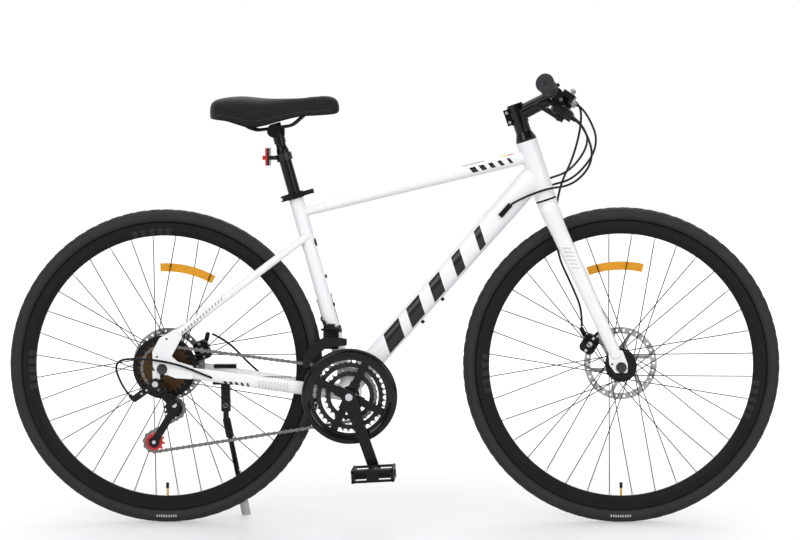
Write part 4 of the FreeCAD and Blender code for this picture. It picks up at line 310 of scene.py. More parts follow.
def coordinates(tree, kind="Object"):
    """The X, Y and Z sockets of the place, or in the world of the direction, that is shaded."""
    place = tree.nodes.new("ShaderNodeTexCoord")
    split = tree.nodes.new("ShaderNodeSeparateXYZ")
    tree.links.new(place.outputs[kind], split.inputs["Vector"])
    return split.outputs


def surface(name, dark, light, rough, scale=40.0, grain_scale=900.0, grain_height=0.05, **fixed):
    """A material with mottled colour, uneven roughness and grain."""
    material = bpy.data.materials.new(name)
    material.use_nodes = True
    tree = material.node_tree
    shader = tree.nodes["Principled BSDF"]
    tone = tree.nodes.new("ShaderNodeGroup")
    tone.node_tree = mottle
    tone.name = "tone"
    tone.inputs["Dark"].default_value = colour4(dark)
    tone.inputs["Light"].default_value = colour4(light)
    tone.inputs["Scale"].default_value = scale
    fine = tree.nodes.new("ShaderNodeGroup")
    fine.node_tree = grain
    fine.inputs["Scale"].default_value = grain_scale
    fine.inputs["Height"].default_value = grain_height
    tree.links.new(tone.outputs["Colour"], shader.inputs["Base Color"])
    tree.links.new(map_range(tree, tone.outputs["Tone"], *rough), shader.inputs["Roughness"])
    tree.links.new(fine.outputs["Normal"], shader.inputs["Normal"])
    for socket, value in fixed.items():
        shader.inputs[socket.replace("_", " ")].default_value = value
    return material


def calc(tree, operation, first, second=0.0):
    """One math node; each input is a number or a socket."""
    node = tree.nodes.new("ShaderNodeMath")
    node.operation = operation
    for socket, value in zip(node.inputs, (first, second)):
        if isinstance(value, (int, float)):
            socket.default_value = value
        else:
            tree.links.new(value, socket)
    return node.outputs[0]


def between(tree, value, low, high):
    """1 where the value lies between two limits, else 0."""
    above = calc(tree, "GREATER_THAN", value, low)
    below = calc(tree, "LESS_THAN", value, high)
    return calc(tree, "MULTIPLY", above, below)


def print_over(material, mask, rgb):
    """Print a colour over the material's own colour where the mask is 1."""
    tree = material.node_tree
    shader = tree.nodes["Principled BSDF"]
    under = shader.inputs["Base Color"].links[0].from_socket
    mix = tree.nodes.new("ShaderNodeMix")
    mix.data_type = "RGBA"
    mix.inputs["B"].default_value = colour4(rgb)
    tree.links.new(mask, mix.inputs["Factor"])
    tree.links.new(under, mix.inputs["A"])
    tree.links.new(mix.outputs["Result"], shader.inputs["Base Color"])


def turned_pair(tree, x, z, cosine, sine):
    """A pair of coordinates, turned by an angle with this cosine and sine."""
    ahead = calc(tree, "ADD", calc(tree, "MULTIPLY", x, cosine), calc(tree, "MULTIPLY", z, sine))
    aside = calc(tree, "SUBTRACT", calc(tree, "MULTIPLY", z, cosine), calc(tree, "MULTIPLY", x, sine))
    return ahead, aside


def tube_coordinates(material, start, end):
    """Distance along a tube from its start, and height square to it, both in the XZ plane."""
    tree = material.node_tree
    here = coordinates(tree)
    along = (end - start).normalized()
    x_from = calc(tree, "SUBTRACT", here["X"], start.x)
    z_from = calc(tree, "SUBTRACT", here["Z"], start.z)
    return turned_pair(tree, x_from, z_from, along.x, along.z)


def slanted_bars(material, run, rise, first, pitch, count, half_height, lean, wide, narrow):
    """A row of slanted bars that get narrower along the tube."""
    tree = material.node_tree
    leaned = calc(tree, "SUBTRACT", run, calc(tree, "MULTIPLY", rise, lean))
    step = calc(tree, "DIVIDE", calc(tree, "SUBTRACT", leaned, first), pitch)
    inside = between(tree, step, 0.0, float(count))
    number = calc(tree, "FLOOR", step)
    duty = calc(tree, "SUBTRACT", wide, calc(tree, "MULTIPLY", number, (wide - narrow) / count))
    filled = calc(tree, "LESS_THAN", calc(tree, "FRACT", step), duty)
    level = calc(tree, "LESS_THAN", calc(tree, "ABSOLUTE", rise), half_height)
    return calc(tree, "MULTIPLY", calc(tree, "MULTIPLY", inside, filled), level)


# %% [markdown]
# ## Paint
#
# The frame and fork are gloss white. The down tube, the top tube and the chainstays carry plain
# printed bars, each worked out from the tube's own direction.

# %% White paint
WHITE_DARK = (0.80, 0.80, 0.815)
WHITE_LIGHT = (0.86, 0.86, 0.87)
PRINT_BLACK = (0.008, 0.008, 0.009)


def white_paint(name):
    return surface(name, WHITE_DARK, WHITE_LIGHT, (0.20, 0.28), 14.0, 1400.0, 0.015,
                   Specular_IOR_Level=0.35, Coat_Weight=0.08, Coat_Roughness=0.08)


white = white_paint("white_paint")

white_fork = white_paint("white_paint_fork")
run, rise = tube_coordinates(white_fork, FORK_CROWN, FRONT_AXLE)
bars = slanted_bars(white_fork, run, rise, 0.088, 0.0095, 6, 0.0085, 0.5, 0.55, 0.3)
print_over(white_fork, bars, (0.60, 0.60, 0.62))

white_seatstay = white_paint("white_paint_seatstay")
run, rise = tube_coordinates(white_seatstay, Vector((-0.456, 0.0, 0.4252)), Vector((-0.3652, 0.0, 0.5016)))
bars = slanted_bars(white_seatstay, run, rise, 0.0, 0.0085, 14, 0.0030, 0.5, 0.62, 0.45)
print_over(white_seatstay, bars, (0.36, 0.36, 0.37))

white_down = white_paint("white_paint_down_tube")
run, rise = tube_coordinates(white_down, DOWN_LOW, DOWN_HIGH)
bars = slanted_bars(white_down, run, rise, 0.139, 0.075, 5, 0.0195, 0.59, 0.66, 0.16)
print_over(white_down, bars, PRINT_BLACK)

white_top = white_paint("white_paint_top_tube")
run, rise = tube_coordinates(white_top, TOP_REAR, TOP_FRONT)
tree = white_top.node_tree
bars = slanted_bars(white_top, run, rise, 0.392, 0.021, 5, 0.0062, -0.5, 0.62, 0.25)
print_over(white_top, bars, PRINT_BLACK)
upper = between(tree, rise, 0.0118, 0.0142)
hair_line = calc(tree, "MULTIPLY", between(tree, run, 0.375, 0.424), upper)
print_over(white_top, hair_line, (0.18, 0.18, 0.19))
yellow = calc(tree, "MULTIPLY", between(tree, run, 0.462, 0.478), upper)
print_over(white_top, yellow, (0.80, 0.52, 0.05))
red = calc(tree, "MULTIPLY", between(tree, run, 0.478, 0.490), upper)
print_over(white_top, red, (0.62, 0.10, 0.07))

white_stay = white_paint("white_paint_stay")
tree = white_stay.node_tree
run, rise = tube_coordinates(white_stay, Vector((-0.40, 0.0, 0.317)), Vector((-0.16, 0.0, 0.293)))
bars = slanted_bars(white_stay, run, rise, 0.034, 0.0125, 5, 0.0048, -0.45, 0.62, 0.3)
print_over(white_stay, bars, PRINT_BLACK)
ripple = calc(tree, "SINE", calc(tree, "MULTIPLY", rise, 420.0))
swung = calc(tree, "ADD", run, calc(tree, "MULTIPLY", ripple, 0.0035))
lines = calc(tree, "LESS_THAN", calc(tree, "FRACT", calc(tree, "MULTIPLY", swung, 150.0)), 0.34)
field = calc(tree, "MULTIPLY", between(tree, run, 0.106, 0.176), between(tree, rise, -0.0125, 0.0125))
print_over(white_stay, calc(tree, "MULTIPLY", lines, field), (0.45, 0.45, 0.47))
print("paints:", white.name, white_down.name, white_top.name, white_stay.name)

# %% [markdown]
# ## Metals, plastics and rubber
#
# Black parts differ by gloss: satin alloy, gloss moulding, dull plastic and rubber. One helper with other
# numbers makes them all, which is shorter than a node tree for each and keeps them alike.

# %% Other materials
satin_black = surface("satin_black", (0.0022, 0.0022, 0.0025), (0.0052, 0.0052, 0.0056), (0.18, 0.28),
                      60.0, 1500.0, 0.03, Specular_IOR_Level=0.22)
gloss_black = surface("gloss_black", (0.0020, 0.0020, 0.0023), (0.0042, 0.0042, 0.0046), (0.10, 0.16),
                      30.0, 900.0, 0.01, Specular_IOR_Level=0.26)
black_plastic = surface("black_plastic", (0.005, 0.005, 0.0055), (0.012, 0.012, 0.013), (0.36, 0.5),
                        80.0, 2400.0, 0.08, Specular_IOR_Level=0.16)
rim_black = surface("rim_black", (0.007, 0.007, 0.0075), (0.012, 0.012, 0.013), (0.34, 0.46),
                    20.0, 1800.0, 0.04, Specular_IOR_Level=0.12)
dark_steel = surface("dark_steel", (0.05, 0.05, 0.052), (0.10, 0.10, 0.104), (0.30, 0.45),
                     120.0, 1600.0, 0.06, Metallic=1.0)
chain_steel = surface("chain_steel", (0.13, 0.12, 0.115), (0.30, 0.285, 0.27), (0.30, 0.48),
                      160.0, 1800.0, 0.06, Metallic=1.0)
silver = surface("silver", (0.52, 0.52, 0.53), (0.68, 0.68, 0.69), (0.20, 0.34),
                 150.0, 1600.0, 0.05, Metallic=1.0)
bronze = surface("bronze_steel", (0.030, 0.020, 0.013), (0.15, 0.088, 0.044), (0.30, 0.5),
                 140.0, 1400.0, 0.08, Metallic=1.0)
brass = surface("brass", (0.55, 0.36, 0.09), (0.72, 0.50, 0.16), (0.2, 0.34),
                140.0, 1600.0, 0.05, Metallic=1.0)
spoke_black = surface("spoke_black", (0.004, 0.004, 0.0045), (0.009, 0.009, 0.0095), (0.36, 0.48),
                      90.0, 1800.0, 0.04, Specular_IOR_Level=0.1)
red_plastic = surface("red_plastic", (0.50, 0.012, 0.014), (0.62, 0.022, 0.022), (0.32, 0.44),
                      60.0, 1800.0, 0.06)
grey_rubber = surface("grey_rubber", (0.44, 0.44, 0.45), (0.56, 0.56, 0.57), (0.5, 0.64), 70.0, 1500.0, 0.12)
cable_skin = surface("cable_skin", (0.006, 0.006, 0.0065), (0.012, 0.012, 0.013), (0.30, 0.42),
                     70.0, 1600.0, 0.04, Specular_IOR_Level=0.16)
grip_rubber = surface("grip_rubber", (0.020, 0.020, 0.022), (0.036, 0.036, 0.039), (0.58, 0.74),
                      90.0, 2600.0, 0.16, Specular_IOR_Level=0.22)
tyre_rubber = surface("tyre_rubber", (0.016, 0.016, 0.0175), (0.030, 0.030, 0.032), (0.56, 0.70),
                      24.0, 1900.0, 0.14, Specular_IOR_Level=0.22)

# %% [markdown]
# Reflector lenses are clear coloured plastic with a moulded pattern of small prisms, and the saddle
# is covered with a pebbled synthetic leather. Both patterns are Voronoi cells that drive a bump.


# %% Patterned materials
def add_cells(material, scale, strength, distance):
    """Swap the plain grain for Voronoi cells."""
    tree = material.node_tree
    shader = tree.nodes["Principled BSDF"]
    place = tree.nodes.new("ShaderNodeTexCoord")
    cells = tree.nodes.new("ShaderNodeTexVoronoi")
    cells.inputs["Scale"].default_value = scale
    relief = tree.nodes.new("ShaderNodeBump")
    relief.inputs["Strength"].default_value = strength
    relief.inputs["Distance"].default_value = distance
    tree.links.new(place.outputs["Object"], cells.inputs["Vector"])
    tree.links.new(cells.outputs["Distance"], relief.inputs["Height"])
    tree.links.new(relief.outputs["Normal"], shader.inputs["Normal"])


TAIL_LENS_FROM_X = -0.2706
tail_plastic = surface("tail_plastic", (0.010, 0.010, 0.011), (0.020, 0.020, 0.021), (0.2, 0.3),
                       300.0, Specular_IOR_Level=0.3)
add_cells(tail_plastic, 420.0, 0.4, 0.0006)
tree = tail_plastic.node_tree
lens = calc(tree, "LESS_THAN", coordinates(tree)["X"], TAIL_LENS_FROM_X)
print_over(tail_plastic, lens, (0.58, 0.010, 0.012))
amber_lens = surface("amber_lens", (0.60, 0.24, 0.003), (0.74, 0.34, 0.006), (0.16, 0.26), 260.0,
                     Specular_IOR_Level=0.3, Coat_Weight=0.12, Coat_Roughness=0.08)
add_cells(amber_lens, 380.0, 0.6, 0.001)
leather = surface("saddle_leather", (0.007, 0.007, 0.0078), (0.013, 0.013, 0.0142), (0.50, 0.62),
                  55.0, Specular_IOR_Level=0.16)
add_cells(leather, 900.0, 0.35, 0.0006)
thread = surface("saddle_thread", (0.012, 0.012, 0.013), (0.022, 0.022, 0.024), (0.6, 0.75),
                 400.0, 3000.0, 0.2)
print("patterned:", tail_plastic.name, amber_lens.name, leather.name)

# %% [markdown]
# Brushed steel on the brake discs shows rings of fine scratches about the axle. The streaks come from
# noise that is read by radius only.


# %% Brushed discs
def radius_from(tree, axle):
    """Distance from an axle, and the two coordinates square to it."""
    here = coordinates(tree)
    x_from = calc(tree, "SUBTRACT", here["X"], axle.x)
    z_from = calc(tree, "SUBTRACT", here["Z"], axle.z)
    square = calc(tree, "ADD", calc(tree, "MULTIPLY", x_from, x_from),
                  calc(tree, "MULTIPLY", z_from, z_from))
    return calc(tree, "SQRT", square), x_from, z_from


def brushed(name, axle):
    material = surface(name, (0.38, 0.38, 0.39), (0.56, 0.56, 0.57), (0.26, 0.38), 60.0, Metallic=1.0)
    tree = material.node_tree
    shader = tree.nodes["Principled BSDF"]
    streak = tree.nodes.new("ShaderNodeTexNoise")
    streak.noise_dimensions = "1D"
    streak.inputs["Scale"].default_value = 1800.0
    streak.inputs["Detail"].default_value = 2.0
    relief = tree.nodes.new("ShaderNodeBump")
    relief.inputs["Strength"].default_value = 0.25
    relief.inputs["Distance"].default_value = 0.0004
    tree.links.new(radius_from(tree, axle)[0], streak.inputs["W"])
    tree.links.new(streak.outputs["Fac"], relief.inputs["Height"])
    tree.links.new(relief.outputs["Normal"], shader.inputs["Normal"])
    return material


def arc_bars(material, axle, middle, inner, outer, pitch, count, filled):
    """A row of bars along an arc; the middle of the row lies at an angle in degrees."""
    tree = material.node_tree
    radius, x_from, z_from = radius_from(tree, axle)
    cosine, sine = math.cos(math.radians(middle)), math.sin(math.radians(middle))
    ahead, aside = turned_pair(tree, x_from, z_from, cosine, sine)
    angle = calc(tree, "ARCTAN2", aside, ahead)
    step = calc(tree, "ADD", calc(tree, "DIVIDE", angle, math.radians(pitch)), count / 2.0)
    bar = calc(tree, "LESS_THAN", calc(tree, "FRACT", step), filled)
    row = calc(tree, "MULTIPLY", between(tree, step, 0.0, float(count)), between(tree, radius, inner, outer))
    return calc(tree, "MULTIPLY", row, bar)


front_disc = brushed("front_brushed_steel", FRONT_AXLE)
rear_disc = brushed("rear_brushed_steel", REAR_AXLE)

front_rim_black = rim_black
rear_rim_black = rim_black.copy()
rear_rim_black.name = "rear_rim_black"
RIM_BAR_ANGLES = ((front_rim_black, FRONT_AXLE, (184.0, -14.0)), (rear_rim_black, REAR_AXLE, (182.0, 96.0)))
for material, axle, places in RIM_BAR_ANGLES:
    for middle in places:
        bars = arc_bars(material, axle, middle, 0.2865, 0.3035, 3.6, 5, 0.6)
        print_over(material, bars, (0.026, 0.026, 0.028))

ring_black = surface("ring_black", (0.008, 0.008, 0.009), (0.016, 0.016, 0.017), (0.28, 0.40),
                     60.0, 1500.0, 0.05, Specular_IOR_Level=0.3)
tree = ring_black.node_tree
radius = radius_from(tree, BRACKET)[0]
for root in (0.0545, 0.0747, 0.0949):
    print_over(ring_black, between(tree, radius, root, root + 0.0075), (0.46, 0.46, 0.46))
print("materials:", len(bpy.data.materials))

# %% [markdown]
# ## Materials for the solids
#
# Most nodes take one material. A node that holds several materials, such as a spoke set with silver
# nipples, gets a rule that picks a material for each face from the place of the face.

# %% One material a node
PLAIN = {
    white: "head_tube seat_tube",
    white_fork: "fork",
    white_seatstay: "seatstays",
    white_down: "down_tube",
    white_top: "top_tube",
    white_stay: "chainstay_right chainstay_left",
    satin_black: "handlebar seat_post seat_clamp rear_caliper front_caliper rear_brake_arm front_brake_arm "
                 "brake_lever_right brake_lever_left rear_hub front_hub rear_derailleur_mount derailleur_link "
                 "derailleur_knuckle derailleur_cage front_derailleur_cage kickstand_mount quick_release_lever "
                 "frame_fittings saddle_frame front_derailleur_mount",
    gloss_black: "stem chain_guard",
    black_plastic: "lever_mounts shift_lever_right shift_lever_left pedal_right pedal_left jockey_upper",
    front_rim_black: "front_rim",
    rear_rim_black: "rear_rim",
    ring_black: "chainrings",
    dark_steel: "front_axle rear_axle",
    chain_steel: "chain",
    bronze: "freewheel",
    front_disc: "front_rotor",
    rear_disc: "rear_rotor",
    red_plastic: "jockey_lower",
    tail_plastic: "tail_reflector",
}


def dress(node, materials):
    """Give a node its material slots."""
    slots = nodes[node].data.materials
    slots.clear()
    for material in materials:
        slots.append(material)


for material, names in PLAIN.items():
    for name in names.split():
        dress(name, [material])


def dress_by(node, materials, rule):
    """Give each face of a node the material whose number the rule returns for the face's middle."""
    dress(node, materials)
    for face in nodes[node].data.polygons:
        face.material_index = rule(face.center)


def from_axle(point, axle):
    return math.hypot(point.x - axle.x, point.z - axle.z)


# %% Nodes with several materials
for side, axle in (("front", FRONT_AXLE), ("rear", REAR_AXLE)):
    dress_by(side + "_spokes", [spoke_black, silver], lambda p: int(from_axle(p, axle) > 0.2765))


def trim_rule(axle):
    """Amber lens, black plastic, or the brass stem of the valve under its black cap."""
    def rule(p):
        if p.z < axle.z - 0.2:
            return 2 if from_axle(p, axle) > 0.2715 else 1
        if from_axle(p, axle) > 0.17:
            return 0
        return 1
    return rule


for side, axle in (("front", FRONT_AXLE), ("rear", REAR_AXLE)):
    dress_by(side + "_wheel_trim", [amber_lens, black_plastic, brass], trim_rule(axle))
dress_by("kickstand_leg", [satin_black, grey_rubber], lambda p: int(p.z < 0.034))
dress_by("cranks", [satin_black, silver], lambda p: int(from_axle(p, BRACKET) < 0.0095 and abs(p.y) > 0.05))
print("dressed:", sum(1 for node in nodes.values() if node.data.materials))

# %% [markdown]
# ## Tyres
#
# A tyre is a ring swept about the axle. Its sidewalls carry two raised beads, and the crown is
# divided into skewed blocks that are inset one by one, which cuts the tread.

# %% Tyres
TYRE_CENTRE = 0.33044
TYRE_HALF_WIDTH = 0.0173
TYRE_HALF_HEIGHT = 0.0143
TREAD_DEPTH = 0.0010
TREAD_STEPS = 216
SECTION_STEPS = 40
TREAD_HALF_ANGLE = math.radians(58.0)


def section_point(angle):
    """Radius and width of the tyre's section at an angle from its crown."""
    bead = 0.0
    for place_of_bead in (78.0, 104.0):
        offset = (abs(math.degrees(angle)) - place_of_bead) / 4.0
        bead += 0.0005 * math.exp(-offset * offset)
    radius = TYRE_CENTRE + (TYRE_HALF_HEIGHT + bead) * math.cos(angle)
    return radius, (TYRE_HALF_WIDTH + bead) * math.sin(angle)


def section_angle(point, axle):
    """The angle of a point about the middle of the tyre's section, measured from the crown."""
    above = (from_axle(point, axle) - TYRE_CENTRE) / TYRE_HALF_HEIGHT
    return math.atan2(point.y / TYRE_HALF_WIDTH, above)


def is_tread(point, axle):
    """True where the crown carries a block and not a groove."""
    angle = abs(section_angle(point, axle))
    turned = math.atan2(point.z - axle.z, point.x - axle.x) % (2.0 * math.pi)
    step = int(turned / (2.0 * math.pi) * TREAD_STEPS)
    lane = int(angle / (2.0 * math.pi / SECTION_STEPS))
    return angle < TREAD_HALF_ANGLE and (step + lane // 2) % 3 != 0


def tyre_mesh(name, axle):
    bm = bmesh.new()
    section = []
    for i in range(SECTION_STEPS):
        radius, width = section_point(2.0 * math.pi * i / SECTION_STEPS - math.pi)
        section.append(bm.verts.new((axle.x + radius, width, axle.z)))
    edges = [bm.edges.new((section[i - 1], section[i])) for i in range(SECTION_STEPS)]
    bmesh.ops.spin(bm, geom=section + edges, cent=axle, axis=LEFT, angle=2.0 * math.pi, steps=TREAD_STEPS,
                   use_merge=True)
    bmesh.ops.remove_doubles(bm, verts=bm.verts, dist=1e-6)
    bmesh.ops.recalc_face_normals(bm, faces=bm.faces)
    tread = [face for face in bm.faces if is_tread(face.calc_center_median(), axle)]
    for vert in bm.verts:
        skew = 0.016 * min(abs(section_angle(vert.co, axle)), TREAD_HALF_ANGLE)
        vert.co = axle + Matrix.Rotation(-skew, 3, "Y") @ (vert.co - axle)
    raised = bmesh.ops.inset_region(bm, faces=tread, thickness=0.0004, depth=TREAD_DEPTH,
                                    use_even_offset=True)
    mesh = finish_mesh(name, bm)
    sharpen(mesh, 38.0)
    print(name, "tread blocks", len(tread), "rim faces", len(raised["faces"]))
    return mesh


for side, axle in (("front", FRONT_AXLE), ("rear", REAR_AXLE)):
    rubber = tyre_rubber.copy()
    rubber.name = side + "_tyre_rubber"
    print_over(rubber, arc_bars(rubber, axle, -90.0, 0.3285, 0.3335, 0.9, 9, 0.6), (0.42, 0.42, 0.43))
    tyre = piece_from(side + "_tyre_rubber", tyre_mesh(side + "_tyre_rubber", axle), rubber,
                      side + "_wheel")
    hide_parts(side + "_tyre")

# %% [markdown]
# ## Saddle
#
# The saddle is a closed crowned form. Stations along its length give the half width, the top and the
# lower edge, and a smooth curve joins them. A shallow channel runs down the middle, and a seam with
# stitches follows each side.

# %% Saddle stations
SADDLE = [
    # x, half width, top, lower edge
    (-0.3950, 0.018, 0.9140, 0.8925),
    (-0.3915, 0.038, 0.9235, 0.8895),
    (-0.3800, 0.058, 0.9315, 0.8868),
    (-0.3540, 0.0720, 0.9368, 0.8830),
    (-0.3290, 0.0755, 0.9385, 0.8750),
    (-0.3050, 0.0738, 0.9370, 0.8685),
    (-0.2820, 0.0660, 0.9345, 0.8710),
    (-0.2550, 0.0500, 0.9335, 0.8785),
    (-0.2250, 0.0360, 0.9340, 0.8865),
    (-0.1950, 0.0270, 0.9350, 0.8925),
    (-0.1650, 0.0230, 0.9368, 0.8940),
    (-0.1430, 0.0215, 0.9380, 0.8955),
    (-0.1260, 0.0190, 0.9345, 0.8970),
    (-0.1170, 0.0135, 0.9270, 0.9005),
    (-0.1135, 0.0055, 0.9170, 0.9060),
]
SADDLE_RINGS = 96
SADDLE_SIDES = 72
LIP_SHARE = 0.45


def smooth_station(x, column):
    """A cubic through the stations."""
    last = len(SADDLE) - 2
    i = 0
    while i < last and SADDLE[i + 1][0] < x:
        i += 1
    x0, x1 = SADDLE[i][0], SADDLE[i + 1][0]
    a, b = SADDLE[i][column], SADDLE[i + 1][column]

    def slope(k):
        k0, k1 = max(k - 1, 0), min(k + 1, len(SADDLE) - 1)
        return (SADDLE[k1][column] - SADDLE[k0][column]) / (SADDLE[k1][0] - SADDLE[k0][0])

    t = (x - x0) / (x1 - x0)
    width = x1 - x0
    first = (1 + 2 * t) * (1 - t) ** 2 * a + t * (1 - t) ** 2 * width * slope(i)
    return first + t * t * (3 - 2 * t) * b + t * t * (t - 1) * width * slope(i + 1)


def saddle_point(x, angle):
    """A point of the saddle's skin; the angle runs from the crown round the side to the underside."""
    half = max(smooth_station(x, 1), 0.003)
    top = smooth_station(x, 2)
    low = smooth_station(x, 3)
    side, up = math.sin(angle), math.cos(angle)
    y = half * math.copysign(abs(side) ** 0.62, side)
    height = top - low
    if up >= 0.0:
        z = low + height * (0.46 + 0.54 * abs(up) ** 0.72)
    else:
        fall = min(abs(up) / LIP_SHARE, 1.0)
        hollow = max(abs(up) - LIP_SHARE, 0.0) / (1.0 - LIP_SHARE)
        z = low + height * (0.46 * (1.0 - fall) + 0.30 * math.sqrt(hollow))
        y *= 1.0 - 0.10 * fall
    if up > 0.0:
        fade = max(0.0, 1.0 - ((x + 0.262) / 0.085) ** 2)
        z -= 0.0055 * fade * math.exp(-(y / 0.011) ** 2)
    return Vector((x, y, z))


# %% Saddle mesh
SEAM_ANGLE = 1.78
bm = bmesh.new()
first_x, last_x = SADDLE[0][0], SADDLE[-1][0]
rings = []
for i in range(SADDLE_RINGS):
    t = i / (SADDLE_RINGS - 1)
    eased = 0.5 - 0.5 * math.cos(math.pi * t)
    x = first_x + (last_x - first_x) * (0.55 * t + 0.45 * eased)
    rings.append([saddle_point(x, 2.0 * math.pi * k / SADDLE_SIDES) for k in range(SADDLE_SIDES)])
loft_rings(bm, rings)
saddle = piece_from("saddle_cover", finish_mesh("saddle_cover", bm), leather, "saddle")
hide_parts("saddle_pad")

seams, stitches = [], []
for mirror in (-1.0, 1.0):
    seam = []
    for i in range(120):
        x = -0.378 + (0.248 * i / 119)
        seam.append(saddle_point(x, mirror * SEAM_ANGLE) + Vector((0.0, mirror * 0.0001, 0.0001)))
    seams.append(seam)
    lift = Vector((0.0, 0.0, 0.0022))
    for i in range(2, 118, 3):
        stitches.append([spot + lift for spot in seam[i:i + 3]])
for name, lines, radius in (("saddle_seams", seams, 0.0008), ("saddle_stitches", stitches, 0.0005)):
    piece_from(name, tube_mesh(name, lines, radius)[0], thread, "saddle")
print("saddle rings", SADDLE_RINGS, "stitches", len(stitches))

# %% [markdown]
# ## Grips
#
# A grip is a rubber sleeve with a flange, fine ribs and a rounded end. Ribs could be a bump in the
# material, but they show in the outline, so one profile with the ribs in it is spun about the bar.

# %% Grips
GRIP_LENGTH = 0.125
GRIP_OVERHANG = 0.003


def grip_profile():
    """Distance from the outer end and radius."""
    profile = [(0.003, 0.0), (0.003, 0.0026), (0.0002, 0.0031), (0.0, 0.0036), (0.0, 0.0140), (0.0008, 0.0178),
               (0.0022, 0.0196), (0.0054, 0.0198), (0.0064, 0.0180), (0.0080, 0.0168)]
    ribs = 26
    first, last = 0.010, GRIP_LENGTH - 0.009
    pitch = (last - first) / ribs
    for i in range(ribs):
        start = first + pitch * i
        profile += [(start, 0.0160), (start + pitch * 0.22, 0.0168), (start + pitch * 0.72, 0.0168),
                    (start + pitch * 0.94, 0.0160)]
    profile += [(last, 0.0168), (last + 0.002, 0.0186), (GRIP_LENGTH - 0.0012, 0.0186), (GRIP_LENGTH, 0.0178),
                (GRIP_LENGTH, 0.0)]
    return profile


bm = bmesh.new()
for mirror in (1.0, -1.0):
    end = Vector((BAR_END.x, BAR_END.y * mirror, BAR_END.z))
    out = Vector((BAR_OUT.x, BAR_OUT.y * mirror, BAR_OUT.z))
    lathe(bm, end + out * GRIP_OVERHANG, -out, grip_profile(), 56)
mesh = finish_mesh("ribbed_grips", bm)
sharpen(mesh, 40.0)
grips = piece_from("ribbed_grips", mesh, grip_rubber, "steering")
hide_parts("grips")
print("grip faces", len(mesh.polygons))

# %% [markdown]
# ## Bolts, brake bodies and fork shoulders
#
# Small fasteners are short posts with a socket cut in their ends. The brake bodies are two rounded
# shells that straddle the disc, joined by a bridge, with a drum on the outside for the cable's arm and a
# tab that runs to the fork or the frame.


# %% Fitting helpers
def standing_at(point, direction, across=None):
    """A matrix that stands on a point with its Z along a direction."""
    up = direction.normalized()
    first = side_axes(up)[0] if across is None else (across - up * across.dot(up)).normalized()
    turn = Matrix((first, up.cross(first), up)).transposed().to_4x4()
    return Matrix.Translation(point) @ turn


def post(bm, point, direction, radius, height, sides=24, rim=0.0):
    """A round post on a point, with a rounded outer rim; gives its end face."""
    way = direction.normalized()
    place = standing_at(point + way * (height / 2.0), way)
    made = bmesh.ops.create_cone(bm, cap_ends=True, segments=sides, radius1=radius, radius2=radius,
                                 depth=height, matrix=place)
    faces = {face for vert in made["verts"] for face in vert.link_faces}
    end = max(faces, key=lambda face: face.calc_center_median().dot(way))
    if rim:
        bmesh.ops.bevel(bm, geom=list(end.edges), offset=rim, offset_type="OFFSET", segments=3, profile=0.5,
                        affect="EDGES", material=-1)
    return end


def bolt(bm, point, direction, radius, height, sides=18):
    """A bolt head with a socket in its end."""
    end = post(bm, point, direction, radius, height, sides)
    bmesh.ops.inset_region(bm, faces=[end], thickness=radius * 0.45)
    bmesh.ops.inset_region(bm, faces=[end], thickness=radius * 0.02, depth=-height * 0.5)


def rounded_plate(bm, centre, normal, x_way, size, corner, rim):
    """A plate with round corners and a softened rim."""
    part = bmesh.new()
    bmesh.ops.create_cube(part, size=1.0, matrix=Matrix.Diagonal((*size, 1.0)))
    upright = [edge for edge in part.edges if abs(edge.verts[0].co.z - edge.verts[1].co.z) > size[2] / 2.0]
    bmesh.ops.bevel(part, geom=upright, offset=corner, offset_type="OFFSET", segments=5, profile=0.5,
                    affect="EDGES", material=-1)
    flat = [face for face in part.faces if abs(face.normal.z) > 0.9]
    rims = list({edge for face in flat for edge in face.edges})
    bmesh.ops.bevel(part, geom=rims, offset=rim, offset_type="OFFSET", segments=2, profile=0.5,
                    affect="EDGES", material=-1)
    bmesh.ops.transform(part, matrix=standing_at(centre, normal, x_way), verts=part.verts)
    join_into(bm, part)


def fittings(name, bm, material, body):
    """Finish a set of small fittings as one piece."""
    mesh = finish_mesh(name, bm)
    sharpen(mesh, 35.0)
    print(name, "faces", len(mesh.polygons))
    return piece_from(name, mesh, material, body)


